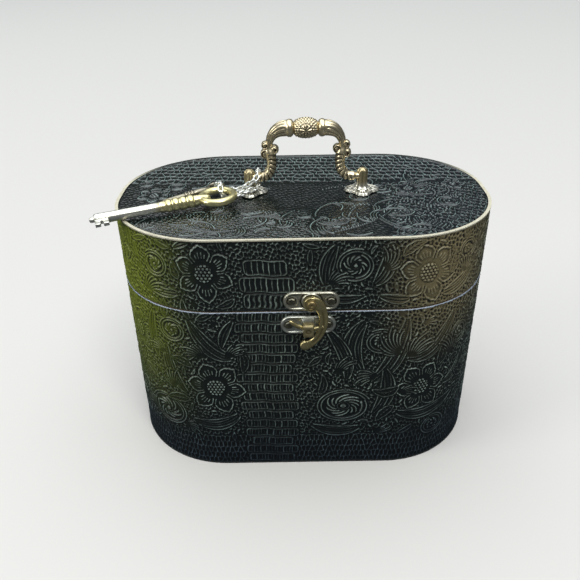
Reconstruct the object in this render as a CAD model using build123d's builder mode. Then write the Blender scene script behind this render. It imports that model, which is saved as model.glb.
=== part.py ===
"""Oval vanity case with an opening lid, a bail handle, a swing latch, two hinges and two keys on a chain.

The origin is the centre of the underside. +X is the case's right, the front faces -Y and +Z is up.
All sizes are in millimetres.
"""
import os
from math import atan2, ceil, cos, pi, radians, sin, sqrt

from build123d import *

os.makedirs("parts", exist_ok=True)

# Case, outside sizes over the covering
front_flat = 108.0
end_flat = 13.0
end_radius = 66.0
body_height = 124.0
seam_gap = 1.0
lid_height = 47.0

# Boards, covering and lining
board_thickness = 5.0
cover_thickness = 0.8
lining_thickness = 0.8
lining_setback = 3.0
edge_trim_width = 2.0

# Screws and the holes they bite into
screw_head_radius = 2.5
screw_head_height = 1.0
screw_head_bevel = 0.5
screw_slot_width = 0.7
screw_slot_length = 3.4
screw_slot_depth = 0.5
screw_shank_radius = 1.1
screw_bite = 4.8
screw_hole_clearance = 0.05
screw_head_sides = 8
screw_shank_sides = 6

# Sides of the small turned parts and of the rounded ends of plates
turned_sides = 10
bore_sides = 12
round_end_sides = 18

# Swing latch on the front
latch_offset = 3.5
latch_plate_length = 33.6
latch_plate_width = 12.6
latch_plate_thickness = 1.2
latch_rim_width = 1.1
latch_rim_height = 0.6
latch_screw_span = 23.4
latch_plate_seam_margin = 0.8
keeper_plate_seam_margin = 2.2
keeper_offset = -1.9
latch_boss_radius = 6.0
latch_boss_height = 1.2
latch_running_gap = 0.2
hook_thickness = 3.0
hook_hub_radius = 4.9
hook_prong_radius = 17.5
hook_prong_width = 3.0
hook_prong_setback = 0.2
hook_prong_tip_angle = 45.0
hook_prong_root_angle = 24.0
hook_tail_radius = 3.2
hook_tail_place = (-3.7, -29.4)
hook_outer_bulge = (10.0, -10.8)
hook_outer_low = (5.2, -24.6)
hook_outer_sweep = (1.4, -30.4)
hook_inner_bulge = (5.7, -9.8)
hook_inner_low = (4.6, -17.4)
hook_inner_sweep = (2.2, -23.4)
hub_outer_angle = radians(38)
hub_inner_angle = radians(-49)
rivet_radius = 1.5
rivet_clearance = 0.05
rivet_head_radius = 2.9
rivet_head_height = 1.3
keeper_width = 6.5
keeper_height = 9.0
keeper_reach = 9.2
keeper_corner = 1.8
keeper_neck_flare = 2.2
keeper_edge_bevel = 0.6
keeper_eye_clearance = 0.45

# Hinges on the back
hinge_spacing = 76.0
hinge_width = 26.0
hinge_leaf_height = 15.0
hinge_leaf_thickness = 1.2
hinge_leaf_corner = 3.0
hinge_knuckle_radius = 2.2
hinge_knuckle_gap = 0.15
hinge_swing_clearance = 0.3
hinge_pin_radius = 1.1
hinge_pin_clearance = 0.05
hinge_pin_head_radius = 1.7
hinge_pin_head_height = 0.8
hinge_screw_span = 16.0

# Bail handle on the lid, with its posts and rosettes
handle_offset = 2.4
handle_post_span = 73.0
handle_pivot_height = 10.0
post_radius = 3.5
post_height = 15.5
post_cap_height = 1.4
post_cap_overhang = 0.4
post_sides = 8
post_shank_radius = 2.0
post_shank_sides = 6
post_shank_clearance = 0.05
rosette_reach = 11.0
rosette_lobe_radius = 3.0
rosette_disc_radius = 7.6
rosette_thickness = 1.4
rosette_step_radius = 5.6
rosette_step_height = 0.6
nut_across_corners = 8.0
nut_thickness = 3.0
washer_radius = 5.5
washer_thickness = 0.8
bail_wire_radius = 1.9
bail_pivot_clearance = 0.08
bail_post_gap = 7.0
bail_stub_overrun = 2.2
bail_foot_bend = 7.2
bail_foot_turn = 80.0
bail_waist_bend = 23.5
bail_waist_turn = 25.0
bail_shoulder_bend = 14.0
bail_shoulder_turn = 35.0
bail_horn_bend = 11.0
bail_horn_turn = 70.0
bail_swell_start = 0.55
bail_horn_radius = 5.0
bail_collar_height = 0.6
bail_bead_radius = 6.9
bail_bead_half_length = 7.7
bail_sides = 8
bail_stations = 9
volute_large_radius = 2.8
volute_small_radius = 2.1
volute_half_width = 2.4
volute_inner_step = (-2.4, 2.3)
volute_outer_step = (2.9, 0.1)
volute_upper_step = (3.2, 4.6)

# Large key, placed from the left post
large_key_from_post = (-18.9, -23.0)
large_key_turn = 19.0
large_key_tilt = 2.7
large_key_lift = 6.5
large_key_bow_radius = 10.0
large_key_bow_wire = 2.4
large_key_shank_radius = 3.3
large_key_length = 75.0
large_key_ring_start = 15.0
large_key_ring_count = 4
large_key_ring_pitch = 4.6
large_key_ring_height = 0.6
large_key_tongue = 4.5
large_key_nub_radius = 1.6
large_key_nub_length = 3.0
large_key_bit_length = 8.0
large_key_bit_reach = 10.0
large_key_bit_thickness = 2.2
large_key_ward = 1.6

# Small key, placed from the left post
small_key_from_post = (-21.9, -3.0)
small_key_turn = 30.0
small_key_tilt = 4.6
small_key_lift = 5.0
small_key_bow_radius = 4.9
small_key_bow_wire = 1.2
small_key_shank_radius = 1.5
small_key_length = 37.0
small_key_collar_radius = 2.3
small_key_collar_start = 16.0
small_key_collar_pitch = 2.2
small_key_collar_count = 3
small_key_bit_length = 6.0
small_key_bit_reach = 5.5
small_key_bit_thickness = 1.4
small_key_ward = 1.0

# Facets of the keys
bow_steps = 7
key_sides = 6

# Chain that joins the keys to the handle
chain_wire = 0.65
chain_link_length = 5.4
chain_link_width = 3.6
chain_slack = 0.7
chain_first_roll = radians(45)

# Sizes that follow from the ones above
case_width = front_flat + 2 * end_radius
case_depth = end_flat + 2 * end_radius
front_face = -case_depth / 2
back_face = case_depth / 2
lid_bottom = body_height + seam_gap
lid_top = lid_bottom + lid_height
wall_inset = cover_thickness
room_inset = cover_thickness + board_thickness
lining_inset = room_inset + lining_thickness
base_panel_top = cover_thickness + board_thickness
lid_panel_top = lid_top - cover_thickness
lid_panel_bottom = lid_panel_top - board_thickness
print(f"case {case_width:.1f} x {case_depth:.1f} x {lid_top:.1f} mm")


def save(piece, node):
    """Label a finished sub-part and write its STEP file."""
    piece.part.label = node
    export_step(piece.part, f"parts/{node}.step")


def front_plane(x, z, reach=0.0):
    """Plane on the front face, looking out of the case, reach in front of it."""
    return Plane(origin=(x, front_face - reach, z), x_dir=(1, 0, 0), z_dir=(0, -1, 0))


def back_plane(x, z, reach=0.0):
    """Plane on the back face, looking out of the case, reach behind it."""
    return Plane(origin=(x, back_face + reach, z), x_dir=(-1, 0, 0), z_dir=(0, 1, 0))


def oval(inset, mode=Mode.ADD):
    """The case's plan outline, a given distance inside the covering's outer face."""
    RectangleRounded(case_width - 2 * inset, case_depth - 2 * inset, end_radius - inset, mode=mode)


def oval_ring(bottom, top, outer_inset, inner_inset):
    """An upright oval wall between two insets, inside the current part."""
    with BuildSketch(Plane.XY.offset(bottom)) as ring:
        oval(outer_inset)
        oval(inner_inset, Mode.SUBTRACT)
    extrude(ring.sketch, amount=top - bottom)


def oval_sheet(bottom, top, inset):
    """A flat oval panel or sheet, inside the current part."""
    with BuildSketch(Plane.XY.offset(bottom)) as sheet:
        oval(inset)
    extrude(sheet.sketch, amount=top - bottom)


def drill(plane, radius, depth):
    """A bore whose flat sides stand a given distance from its axis, from a plane back into the part."""
    with BuildSketch(plane) as hole:
        RegularPolygon(radius, bore_sides, major_radius=False)
    extrude(hole.sketch, amount=-depth, mode=Mode.SUBTRACT)


def pill(length, width, mode=Mode.ADD):
    """A long plate's outline with rounded ends, inside the current sketch."""
    with Locations((-(length - width) / 2, 0), ((length - width) / 2, 0)):
        RegularPolygon(width / 2, round_end_sides, mode=mode)
    Rectangle(length - width, width, mode=mode)


def turned(frame, stations, sides):
    """A turned form with flat sides, from (place, radius) stations along the frame's normal."""
    slices = []
    for place, radius in stations:
        with BuildSketch(frame.offset(place)) as slice_sketch:
            RegularPolygon(radius, sides)
        slices.append(slice_sketch.sketch)
    loft(slices, ruled=True)


def pilot_holes(planes, depth):
    """Screw holes cut to the shank's own section, from each plane back into the case."""
    for plane in planes:
        with BuildSketch(plane) as hole:
            RegularPolygon(screw_shank_radius + screw_hole_clearance, screw_shank_sides)
        extrude(hole.sketch, amount=-depth, mode=Mode.SUBTRACT)


def screw(plane):
    """One cross-head screw whose head sits on a plane, inside the current part."""
    crown_plane = plane.offset(screw_head_height - screw_head_bevel)
    with BuildSketch(plane) as head:
        RegularPolygon(screw_head_radius, screw_head_sides)
    extrude(head.sketch, amount=screw_head_height - screw_head_bevel)
    with BuildSketch(crown_plane) as crown:
        RegularPolygon(screw_head_radius, screw_head_sides)
    with BuildSketch(crown_plane.offset(screw_head_bevel)) as face:
        RegularPolygon(screw_head_radius - screw_head_bevel, screw_head_sides)
    loft([crown.sketch, face.sketch], ruled=True)
    with BuildSketch(plane.offset(screw_head_height)) as cross:
        Rectangle(screw_slot_length, screw_slot_width, rotation=45)
        Rectangle(screw_slot_width, screw_slot_length, rotation=45)
    extrude(cross.sketch, amount=-screw_slot_depth, mode=Mode.SUBTRACT)


def screw_shank(plane, plate_thickness):
    """The shank under a screw head, through its plate and into the board."""
    with BuildSketch(plane) as shank:
        RegularPolygon(screw_shank_radius, screw_shank_sides)
    extrude(shank.sketch, amount=-(plate_thickness + screw_bite))


# Places of the latch parts, the hinges and the handle
latch_plate_height = lid_bottom + latch_plate_seam_margin + latch_plate_width / 2
keeper_plate_height = body_height - keeper_plate_seam_margin - latch_plate_width / 2
keeper_x = latch_offset + keeper_offset
latch_screw_xs = [latch_offset - latch_screw_span / 2, latch_offset + latch_screw_span / 2]
keeper_screw_xs = [keeper_x - latch_screw_span / 2, keeper_x + latch_screw_span / 2]
hinge_xs = {"left": -hinge_spacing / 2, "right": hinge_spacing / 2}
hinge_axis_height = body_height + seam_gap / 2
hinge_axis_reach = hinge_knuckle_radius + hinge_swing_clearance
hinge_leaf_start = hinge_knuckle_radius + hinge_swing_clearance
hinge_screw_drop = hinge_leaf_start + (hinge_leaf_height - hinge_leaf_start) / 2
handle_xs = {
    "left": handle_offset - handle_post_span / 2,
    "right": handle_offset + handle_post_span / 2,
}
bail_stub_inner = handle_post_span / 2 - bail_post_gap


def latch_screw_planes(reach):
    """Where the two screws of the latch plate stand, reach in front of the lid."""
    return [front_plane(x, latch_plate_height, reach) for x in latch_screw_xs]


def keeper_screw_planes(reach):
    """Where the two screws of the keeper plate stand, reach in front of the body."""
    return [front_plane(x, keeper_plate_height, reach) for x in keeper_screw_xs]


def hinge_screw_planes(side_of_seam, reach):
    """Where the screws of both hinges stand: side_of_seam is 1 on the lid and -1 on the body."""
    height = hinge_axis_height + side_of_seam * hinge_screw_drop
    spots = []
    for x in hinge_xs.values():
        for step in (-hinge_screw_span / 2, hinge_screw_span / 2):
            spots.append(back_plane(x + step, height, reach))
    return spots


# Body wall: a bent board, with pilot holes for the keeper and hinge screws
with BuildPart() as body_wall:
    oval_ring(cover_thickness, body_height, wall_inset, room_inset)
    pilot_holes(keeper_screw_planes(-wall_inset), screw_bite - wall_inset)
    pilot_holes(hinge_screw_planes(-1, -wall_inset), screw_bite - wall_inset)
save(body_wall, "body_wall")

# Base panel: a board set inside the body wall
with BuildPart() as base_panel:
    oval_sheet(cover_thickness, base_panel_top, room_inset)
save(base_panel, "base_panel")

# Side covering of the body: embossed leatherette wrapped round the wall
with BuildPart() as body_cover:
    oval_ring(cover_thickness, body_height, 0, wall_inset)
    pilot_holes(keeper_screw_planes(0), 2 * wall_inset)
    pilot_holes(hinge_screw_planes(-1, 0), 2 * wall_inset)
save(body_cover, "body_cover")

# Base covering: the sheet that the case stands on
with BuildPart() as base_cover:
    oval_sheet(0, cover_thickness, 0)
save(base_cover, "base_cover")

# Body lining: a sheet up the inside of the wall, short of its rim
with BuildPart() as body_lining:
    oval_ring(base_panel_top, body_height - lining_setback, room_inset, lining_inset)
save(body_lining, "body_lining")

# Base lining: the sheet on the floor of the case
with BuildPart() as base_lining:
    oval_sheet(base_panel_top, base_panel_top + lining_thickness, lining_inset)
save(base_lining, "base_lining")

# Lid wall: a bent board, with pilot holes for the latch and hinge screws
with BuildPart() as lid_wall:
    oval_ring(lid_bottom, lid_panel_top, wall_inset, room_inset)
    pilot_holes(latch_screw_planes(-wall_inset), screw_bite - wall_inset)
    pilot_holes(hinge_screw_planes(1, -wall_inset), screw_bite - wall_inset)
save(lid_wall, "lid_wall")


def handle_shank_holes(top, depth):
    """The two holes for the threaded ends of the handle posts."""
    for x in handle_xs.values():
        with BuildSketch(Plane(origin=(x, 0, top))) as hole:
            RegularPolygon(post_shank_radius + post_shank_clearance, post_shank_sides)
        extrude(hole.sketch, amount=-depth, mode=Mode.SUBTRACT)


# Lid top panel: a board set inside the lid wall, drilled for the handle posts
with BuildPart() as lid_top_panel:
    oval_sheet(lid_panel_bottom, lid_panel_top, room_inset)
    handle_shank_holes(lid_panel_top, board_thickness)
save(lid_top_panel, "lid_top_panel")

# Side covering of the lid
with BuildPart() as lid_side_cover:
    oval_ring(lid_bottom, lid_panel_top, 0, wall_inset)
    pilot_holes(latch_screw_planes(0), 2 * wall_inset)
    pilot_holes(hinge_screw_planes(1, 0), 2 * wall_inset)
save(lid_side_cover, "lid_side_cover")

# Top covering of the lid, laid inside the pale edge
with BuildPart() as lid_top_cover:
    oval_sheet(lid_panel_top, lid_top, edge_trim_width)
    handle_shank_holes(lid_top, cover_thickness)
save(lid_top_cover, "lid_top_cover")

# Pale edge strip round the lid's top corner
with BuildPart() as lid_edge_trim:
    oval_ring(lid_panel_top, lid_top, 0, edge_trim_width)
save(lid_edge_trim, "lid_edge_trim")

# Lid wall lining
with BuildPart() as lid_wall_lining:
    oval_ring(lid_bottom + lining_setback, lid_panel_bottom, room_inset, lining_inset)
save(lid_wall_lining, "lid_wall_lining")

# Lid top lining, pierced by the handle posts
with BuildPart() as lid_top_lining:
    oval_sheet(lid_panel_bottom - lining_thickness, lid_panel_bottom, lining_inset)
    handle_shank_holes(lid_panel_bottom, lining_thickness)
save(lid_top_lining, "lid_top_lining")


def latch_plate_blank(x, height):
    """A pill-shaped plate with a raised rim, inside the current part."""
    inner_length = latch_plate_length - 2 * latch_rim_width
    inner_width = latch_plate_width - 2 * latch_rim_width
    with BuildSketch(front_plane(x, height)) as blank:
        pill(latch_plate_length, latch_plate_width)
    extrude(blank.sketch, amount=latch_plate_thickness)
    with BuildSketch(front_plane(x, height, latch_plate_thickness)) as rim:
        pill(latch_plate_length, latch_plate_width)
        pill(inner_length, inner_width, Mode.SUBTRACT)
    extrude(rim.sketch, amount=latch_rim_height)


# Latch plate on the lid: pill plate, raised rim and the round boss that the hook turns on
with BuildPart() as latch_plate:
    latch_plate_blank(latch_offset, latch_plate_height)
    with BuildSketch(front_plane(latch_offset, latch_plate_height, latch_plate_thickness)):
        RegularPolygon(latch_boss_radius, round_end_sides)
    extrude(amount=latch_boss_height)
    pilot_holes(latch_screw_planes(latch_plate_thickness), latch_plate_thickness)
    boss_top = latch_plate_thickness + latch_boss_height
    drill(front_plane(latch_offset, latch_plate_height), rivet_radius, -boss_top)
save(latch_plate, "latch_plate")

# Rivet: a shouldered pin with a domed head, fast in the latch plate
hook_back = latch_plate_thickness + latch_boss_height + latch_running_gap
hook_front = hook_back + hook_thickness
with BuildPart() as latch_rivet:
    with BuildSketch(front_plane(latch_offset, latch_plate_height)):
        Circle(rivet_radius)
    extrude(amount=hook_front + latch_running_gap)
    head_plane = front_plane(latch_offset, latch_plate_height, hook_front + latch_running_gap)
    head = [(0, rivet_head_radius), (rivet_head_height * 0.4, rivet_head_radius)]
    head.append((rivet_head_height, rivet_head_radius - rivet_head_height * 0.9))
    turned(head_plane, head, turned_sides)
save(latch_rivet, "latch_rivet")

# Latch hook: hub, crescent arm with a round tail, and the prong that threads the keeper
with BuildPart() as latch_hook:
    with BuildSketch(front_plane(latch_offset, latch_plate_height, hook_back)):
        with BuildLine():
            tail_x, tail_z = hook_tail_place
            tail_low = (tail_x, tail_z - hook_tail_radius)
            tail_high = (tail_x, tail_z + hook_tail_radius)
            hub_outer = (hook_hub_radius * cos(hub_outer_angle), hook_hub_radius * sin(hub_outer_angle))
            hub_inner = (hook_hub_radius * cos(hub_inner_angle), hook_hub_radius * sin(hub_inner_angle))
            ThreePointArc(hub_outer, hook_outer_bulge, hook_outer_low)
            ThreePointArc(hook_outer_low, hook_outer_sweep, tail_low)
            ThreePointArc(tail_low, (tail_x - hook_tail_radius, tail_z), tail_high)
            ThreePointArc(tail_high, hook_inner_sweep, hook_inner_low)
            ThreePointArc(hook_inner_low, hook_inner_bulge, hub_inner)
            ThreePointArc(hub_inner, (-hook_hub_radius, 0), hub_outer)
        make_face()
    extrude(amount=hook_thickness)
    with BuildSketch(front_plane(latch_offset, latch_plate_height, hook_back + hook_prong_setback)):
        with BuildLine():
            inner_radius = hook_prong_radius - hook_prong_width / 2
            outer_radius = hook_prong_radius + hook_prong_width / 2
            tip = radians(-90 - hook_prong_tip_angle)
            root = radians(-90 + hook_prong_root_angle)
            middle = (tip + root) / 2
            arc_points = {}
            for label, radius in (("inner", inner_radius), ("outer", outer_radius)):
                arc_points[label] = [(radius * cos(a), radius * sin(a)) for a in (tip, middle, root)]
            ThreePointArc(*arc_points["inner"])
            Line(arc_points["inner"][2], arc_points["outer"][2])
            ThreePointArc(*reversed(arc_points["outer"]))
            Line(arc_points["outer"][0], arc_points["inner"][0])
        make_face()
        with Locations((hook_prong_radius * cos(tip), hook_prong_radius * sin(tip))):
            RegularPolygon(hook_prong_width / 2, 8)
    extrude(amount=hook_thickness - 2 * hook_prong_setback)
    hub_face = front_plane(latch_offset, latch_plate_height, hook_front)
    drill(hub_face, rivet_radius + rivet_clearance, hook_thickness)
save(latch_hook, "latch_hook")

# Keeper plate on the body: pill plate and an eyed lug that the prong passes through
with BuildPart() as keeper_plate:
    latch_plate_blank(keeper_x, keeper_plate_height)
    lug_base = front_plane(keeper_x, keeper_plate_height, latch_plate_thickness)
    with BuildSketch(lug_base):
        lug_outline = Rectangle(keeper_width, keeper_height)
        chamfer(lug_outline.vertices(), keeper_corner)
    extrude(amount=keeper_reach - latch_plate_thickness)
    chamfer(keeper_plate.faces().sort_by(Axis.Y)[0].edges(), keeper_edge_bevel)
    with BuildSketch(lug_base):
        Rectangle(keeper_width + keeper_neck_flare, keeper_height + keeper_neck_flare / 2)
    with BuildSketch(lug_base.offset(latch_rim_height + keeper_neck_flare / 2)):
        Rectangle(keeper_width, keeper_height - keeper_corner)
    loft(ruled=True)
    prong_low = -hook_prong_radius - hook_prong_width / 2 - keeper_eye_clearance
    far_x = abs(keeper_offset) + keeper_width / 2
    prong_rise = hook_prong_radius - hook_prong_width / 2
    prong_high = -sqrt(prong_rise**2 - far_x**2) + keeper_eye_clearance
    eye_centre = latch_plate_height + (prong_low + prong_high) / 2
    eye_depth_start = hook_back + hook_prong_setback - keeper_eye_clearance
    eye_depth_end = hook_front - hook_prong_setback + keeper_eye_clearance
    eye_y = front_face - (eye_depth_start + eye_depth_end) / 2
    eye_plane = Plane(origin=(keeper_x - keeper_width, eye_y, eye_centre), x_dir=(0, 1, 0), z_dir=(1, 0, 0))
    with BuildSketch(eye_plane):
        Rectangle(eye_depth_end - eye_depth_start, prong_high - prong_low)
    extrude(amount=2 * keeper_width, mode=Mode.SUBTRACT)
    pilot_holes(keeper_screw_planes(latch_plate_thickness), latch_plate_thickness)
save(keeper_plate, "keeper_plate")


def screw_group(planes, plate_thickness, node):
    """A set of like screws in one node, each its own solid."""
    with BuildPart() as screws:
        for plane in planes:
            screw(plane)
            screw_shank(plane, plate_thickness)
    save(screws, node)


screw_group(latch_screw_planes(latch_plate_thickness), latch_plate_thickness, "latch_plate_screws")
screw_group(keeper_screw_planes(latch_plate_thickness), latch_plate_thickness, "keeper_plate_screws")
screw_group(hinge_screw_planes(-1, hinge_leaf_thickness), hinge_leaf_thickness, "hinge_lower_screws")
screw_group(hinge_screw_planes(1, hinge_leaf_thickness), hinge_leaf_thickness, "hinge_upper_screws")

# Hinges: each lower leaf has two knuckles, each upper leaf one between them
knuckle_length = hinge_width / 3
middle_knuckle = knuckle_length - 2 * hinge_knuckle_gap


def hinge_leaf(x, side_of_seam, knuckles, node):
    """One leaf: a plate on the back of the case and its knuckles, as (centre, length) pairs."""
    leaf_length = hinge_leaf_height - hinge_leaf_start
    leaf_centre = hinge_axis_height + side_of_seam * (hinge_leaf_start + leaf_length / 2)
    root_height = hinge_axis_height + side_of_seam * hinge_leaf_start / 2
    with BuildPart() as leaf:
        with BuildSketch(back_plane(x, leaf_centre)):
            blank = Rectangle(hinge_width, leaf_length)
            free_end = blank.vertices().group_by(Axis.Y)[-1 if side_of_seam > 0 else 0]
            fillet(free_end, hinge_leaf_corner)
        extrude(amount=hinge_leaf_thickness)
        for centre, length in knuckles:
            with BuildSketch(back_plane(x - centre, root_height, hinge_swing_clearance)):
                Rectangle(length, hinge_leaf_start)
            extrude(amount=hinge_knuckle_radius)
            barrel = Plane(
                origin=(x + centre - length / 2, back_face + hinge_axis_reach, hinge_axis_height),
                x_dir=(0, 1, 0),
                z_dir=(1, 0, 0),
            )
            with BuildSketch(barrel):
                RegularPolygon(hinge_knuckle_radius, turned_sides)
            extrude(amount=length)
        for centre, length in knuckles:
            bore = Plane(
                origin=(x + centre - length / 2, back_face + hinge_axis_reach, hinge_axis_height),
                x_dir=(0, 1, 0),
                z_dir=(1, 0, 0),
            )
            drill(bore, hinge_pin_radius + hinge_pin_clearance, -length)
        screw_height = hinge_axis_height + side_of_seam * hinge_screw_drop
        steps = (-hinge_screw_span / 2, hinge_screw_span / 2)
        planes = [back_plane(x + step, screw_height, hinge_leaf_thickness) for step in steps]
        pilot_holes(planes, hinge_leaf_thickness)
    save(leaf, node)


for side, x in hinge_xs.items():
    outer_step = (hinge_width - knuckle_length) / 2
    outer_length = knuckle_length
    hinge_leaf(x, -1, [(-outer_step, outer_length), (outer_step, outer_length)], f"hinge_lower_leaf_{side}")
    hinge_leaf(x, 1, [(0, middle_knuckle)], f"hinge_upper_leaf_{side}")
    pin_plane = Plane(
        origin=(x - hinge_width / 2, back_face + hinge_axis_reach, hinge_axis_height),
        x_dir=(0, 1, 0),
        z_dir=(1, 0, 0),
    )
    with BuildPart() as hinge_pin:
        with BuildSketch(pin_plane):
            Circle(hinge_pin_radius)
        extrude(amount=hinge_width)
        with BuildSketch(pin_plane, pin_plane.offset(hinge_width + hinge_pin_head_height)):
            RegularPolygon(hinge_pin_head_radius, turned_sides)
        extrude(amount=-hinge_pin_head_height)
    save(hinge_pin, f"hinge_pin_{side}")

# Handle: rosettes, fluted posts with threaded shanks, washers and nuts under the lid panel
rosette_top = lid_top + rosette_thickness + rosette_step_height
post_shank_end = lid_panel_bottom - lining_thickness - washer_thickness - nut_thickness
for side, x in handle_xs.items():
    with BuildPart() as rosette:
        with BuildSketch(Plane(origin=(x, 0, lid_top))):
            RegularPolygon(rosette_disc_radius, turned_sides)
            with PolarLocations(rosette_reach - rosette_lobe_radius, 4):
                RegularPolygon(rosette_lobe_radius, 8)
            RegularPolygon(post_shank_radius + post_shank_clearance, post_shank_sides, mode=Mode.SUBTRACT)
        extrude(amount=rosette_thickness)
        with BuildSketch(Plane(origin=(x, 0, lid_top + rosette_thickness))):
            RegularPolygon(rosette_step_radius, turned_sides)
            RegularPolygon(post_shank_radius + post_shank_clearance, post_shank_sides, mode=Mode.SUBTRACT)
        extrude(amount=rosette_step_height)
    save(rosette, f"handle_rosette_{side}")

    with BuildPart() as post:
        with BuildSketch(Plane(origin=(x, 0, rosette_top))):
            RegularPolygon(post_radius, post_sides)
        extrude(amount=lid_top + post_height - post_cap_height - rosette_top)
        with BuildSketch(Plane(origin=(x, 0, lid_top + post_height - post_cap_height))):
            RegularPolygon(post_radius + post_cap_overhang, post_sides)
        with BuildSketch(Plane(origin=(x, 0, lid_top + post_height))):
            RegularPolygon(post_radius - post_cap_height, post_sides)
        loft(ruled=True)
        with BuildSketch(Plane(origin=(x, 0, rosette_top))):
            RegularPolygon(post_shank_radius, post_shank_sides)
        extrude(amount=-(rosette_top - post_shank_end))
        bore_plane = Plane(
            origin=(x - 2 * post_radius, 0, lid_top + handle_pivot_height),
            x_dir=(0, 1, 0),
            z_dir=(1, 0, 0),
        )
        drill(bore_plane, bail_wire_radius + bail_pivot_clearance, -4 * post_radius)
    save(post, f"handle_post_{side}")

with BuildPart() as handle_washers:
    for x in handle_xs.values():
        with BuildSketch(Plane(origin=(x, 0, lid_panel_bottom - lining_thickness))):
            RegularPolygon(washer_radius, turned_sides)
            RegularPolygon(post_shank_radius + post_shank_clearance, post_shank_sides, mode=Mode.SUBTRACT)
        extrude(amount=-washer_thickness)
save(handle_washers, "handle_washers")

with BuildPart() as handle_nuts:
    for x in handle_xs.values():
        with BuildSketch(Plane(origin=(x, 0, lid_panel_bottom - lining_thickness - washer_thickness))):
            RegularPolygon(nut_across_corners / 2, 6)
            RegularPolygon(post_shank_radius + post_shank_clearance, post_shank_sides, mode=Mode.SUBTRACT)
        extrude(amount=-nut_thickness)
save(handle_nuts, "handle_nuts")

# Bail: each side rises from its pivot, curls past three volutes and swells into a horn that holds the bead
bail_base = Plane(origin=(handle_offset, 0, lid_top + handle_pivot_height), x_dir=(1, 0, 0), z_dir=(0, -1, 0))
with BuildLine(mode=Mode.PRIVATE) as bail_side:
    foot = JernArc((bail_stub_inner, 0), (-1, 0), bail_foot_bend, -bail_foot_turn)
    waist = JernArc(foot @ 1, foot % 1, bail_waist_bend, -bail_waist_turn)
    shoulder = JernArc(waist @ 1, waist % 1, bail_shoulder_bend, bail_shoulder_turn)
    horn = JernArc(shoulder @ 1, shoulder % 1, bail_horn_bend, bail_horn_turn)
bail_path = bail_side.wires()[0]
bail_crown = (horn @ 1).Y
horn_inner = (horn @ 1).X
volutes = [
    (volute_inner_step, volute_large_radius),
    (volute_outer_step, volute_large_radius),
    (volute_upper_step, volute_small_radius),
]


with BuildPart() as handle_bail:
    for index in range(bail_stations):
        fraction = index / (bail_stations - 1)
        swell = max(0, (fraction - bail_swell_start) / (1 - bail_swell_start))
        spot = bail_base.from_local_coords(bail_path @ fraction)
        heading = bail_path % fraction
        section = Plane(origin=spot, x_dir=(0, 1, 0), z_dir=(heading.X, 0, heading.Y))
        with BuildSketch(section):
            RegularPolygon(bail_wire_radius + (bail_horn_radius - bail_wire_radius) * swell, bail_sides)
    loft(ruled=True)
    stub_plane = Plane(
        origin=(handle_offset + bail_stub_inner, 0, lid_top + handle_pivot_height),
        x_dir=(0, 1, 0),
        z_dir=(1, 0, 0),
    )
    with BuildSketch(stub_plane):
        Circle(bail_wire_radius)
    extrude(amount=handle_post_span / 2 + bail_stub_overrun - bail_stub_inner)
    for step, radius in volutes:
        with BuildSketch(bail_base.offset(-volute_half_width)):
            with Locations(waist @ 1 + Vector(*step)):
                RegularPolygon(radius, turned_sides)
        extrude(amount=2 * volute_half_width)
    crown_plane = Plane(
        origin=(handle_offset, 0, lid_top + handle_pivot_height + bail_crown),
        x_dir=(0, 1, 0),
        z_dir=(1, 0, 0),
    )
    bead_end = bail_bead_half_length
    collar_radius = bail_horn_radius + bail_collar_height
    bead = [(0, bail_bead_radius), (bead_end * 0.5, bail_bead_radius * 0.93)]
    bead.append((bead_end * 0.8, bail_bead_radius * 0.82))
    bead.append((bead_end, bail_horn_radius - bail_collar_height))
    bead.append((bead_end + bail_collar_height, collar_radius))
    bead += [(horn_inner, collar_radius), (horn_inner + bail_collar_height, bail_horn_radius)]
    turned(crown_plane, bead, turned_sides)
    mirror(about=Plane.YZ.offset(handle_offset))
save(handle_bail, "handle_bail")


def key_frame(from_post, turn, tilt, lift):
    """Frame of a key that lies on the lid: origin at its bow's centre, +X along the shank to the tip."""
    place = Vector(handle_xs["left"] + from_post[0], from_post[1], lid_top + lift)
    level = cos(radians(tilt))
    direction = Vector(-cos(radians(turn)) * level, -sin(radians(turn)) * level, -sin(radians(tilt)))
    side = Vector(sin(radians(turn)), -cos(radians(turn)), 0)
    face = side.cross(direction) * -1
    return Plane(origin=place, x_dir=direction, z_dir=face)


def key_bow(radius, wire, frame):
    """A round bow of bent wire: flat-sided sections set round the frame's origin, in two halves."""
    for half in (0, 1):
        slices = []
        for step in range(bow_steps + 1):
            turn = radians(180 * (half + step / bow_steps))
            outward = frame.x_dir * cos(turn) + frame.y_dir * sin(turn)
            ahead = frame.y_dir * cos(turn) - frame.x_dir * sin(turn)
            place = frame.origin + outward * radius
            with BuildSketch(Plane(origin=place, x_dir=outward, z_dir=ahead)) as section:
                RegularPolygon(wire, key_sides)
            slices.append(section.sketch)
        loft(slices, ruled=True)


def key_bit(frame, length, bit_length, reach, thickness, ward):
    """The flat bit at a key's tip, with a ward slot cut into its free edge."""
    with BuildSketch(frame.offset(-thickness / 2)) as bit:
        with Locations((length - bit_length / 2, reach / 2)):
            Rectangle(bit_length, reach)
        with Locations((length - bit_length / 2, reach)):
            Rectangle(ward, reach / 2, mode=Mode.SUBTRACT)
    extrude(bit.sketch, amount=thickness)


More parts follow.
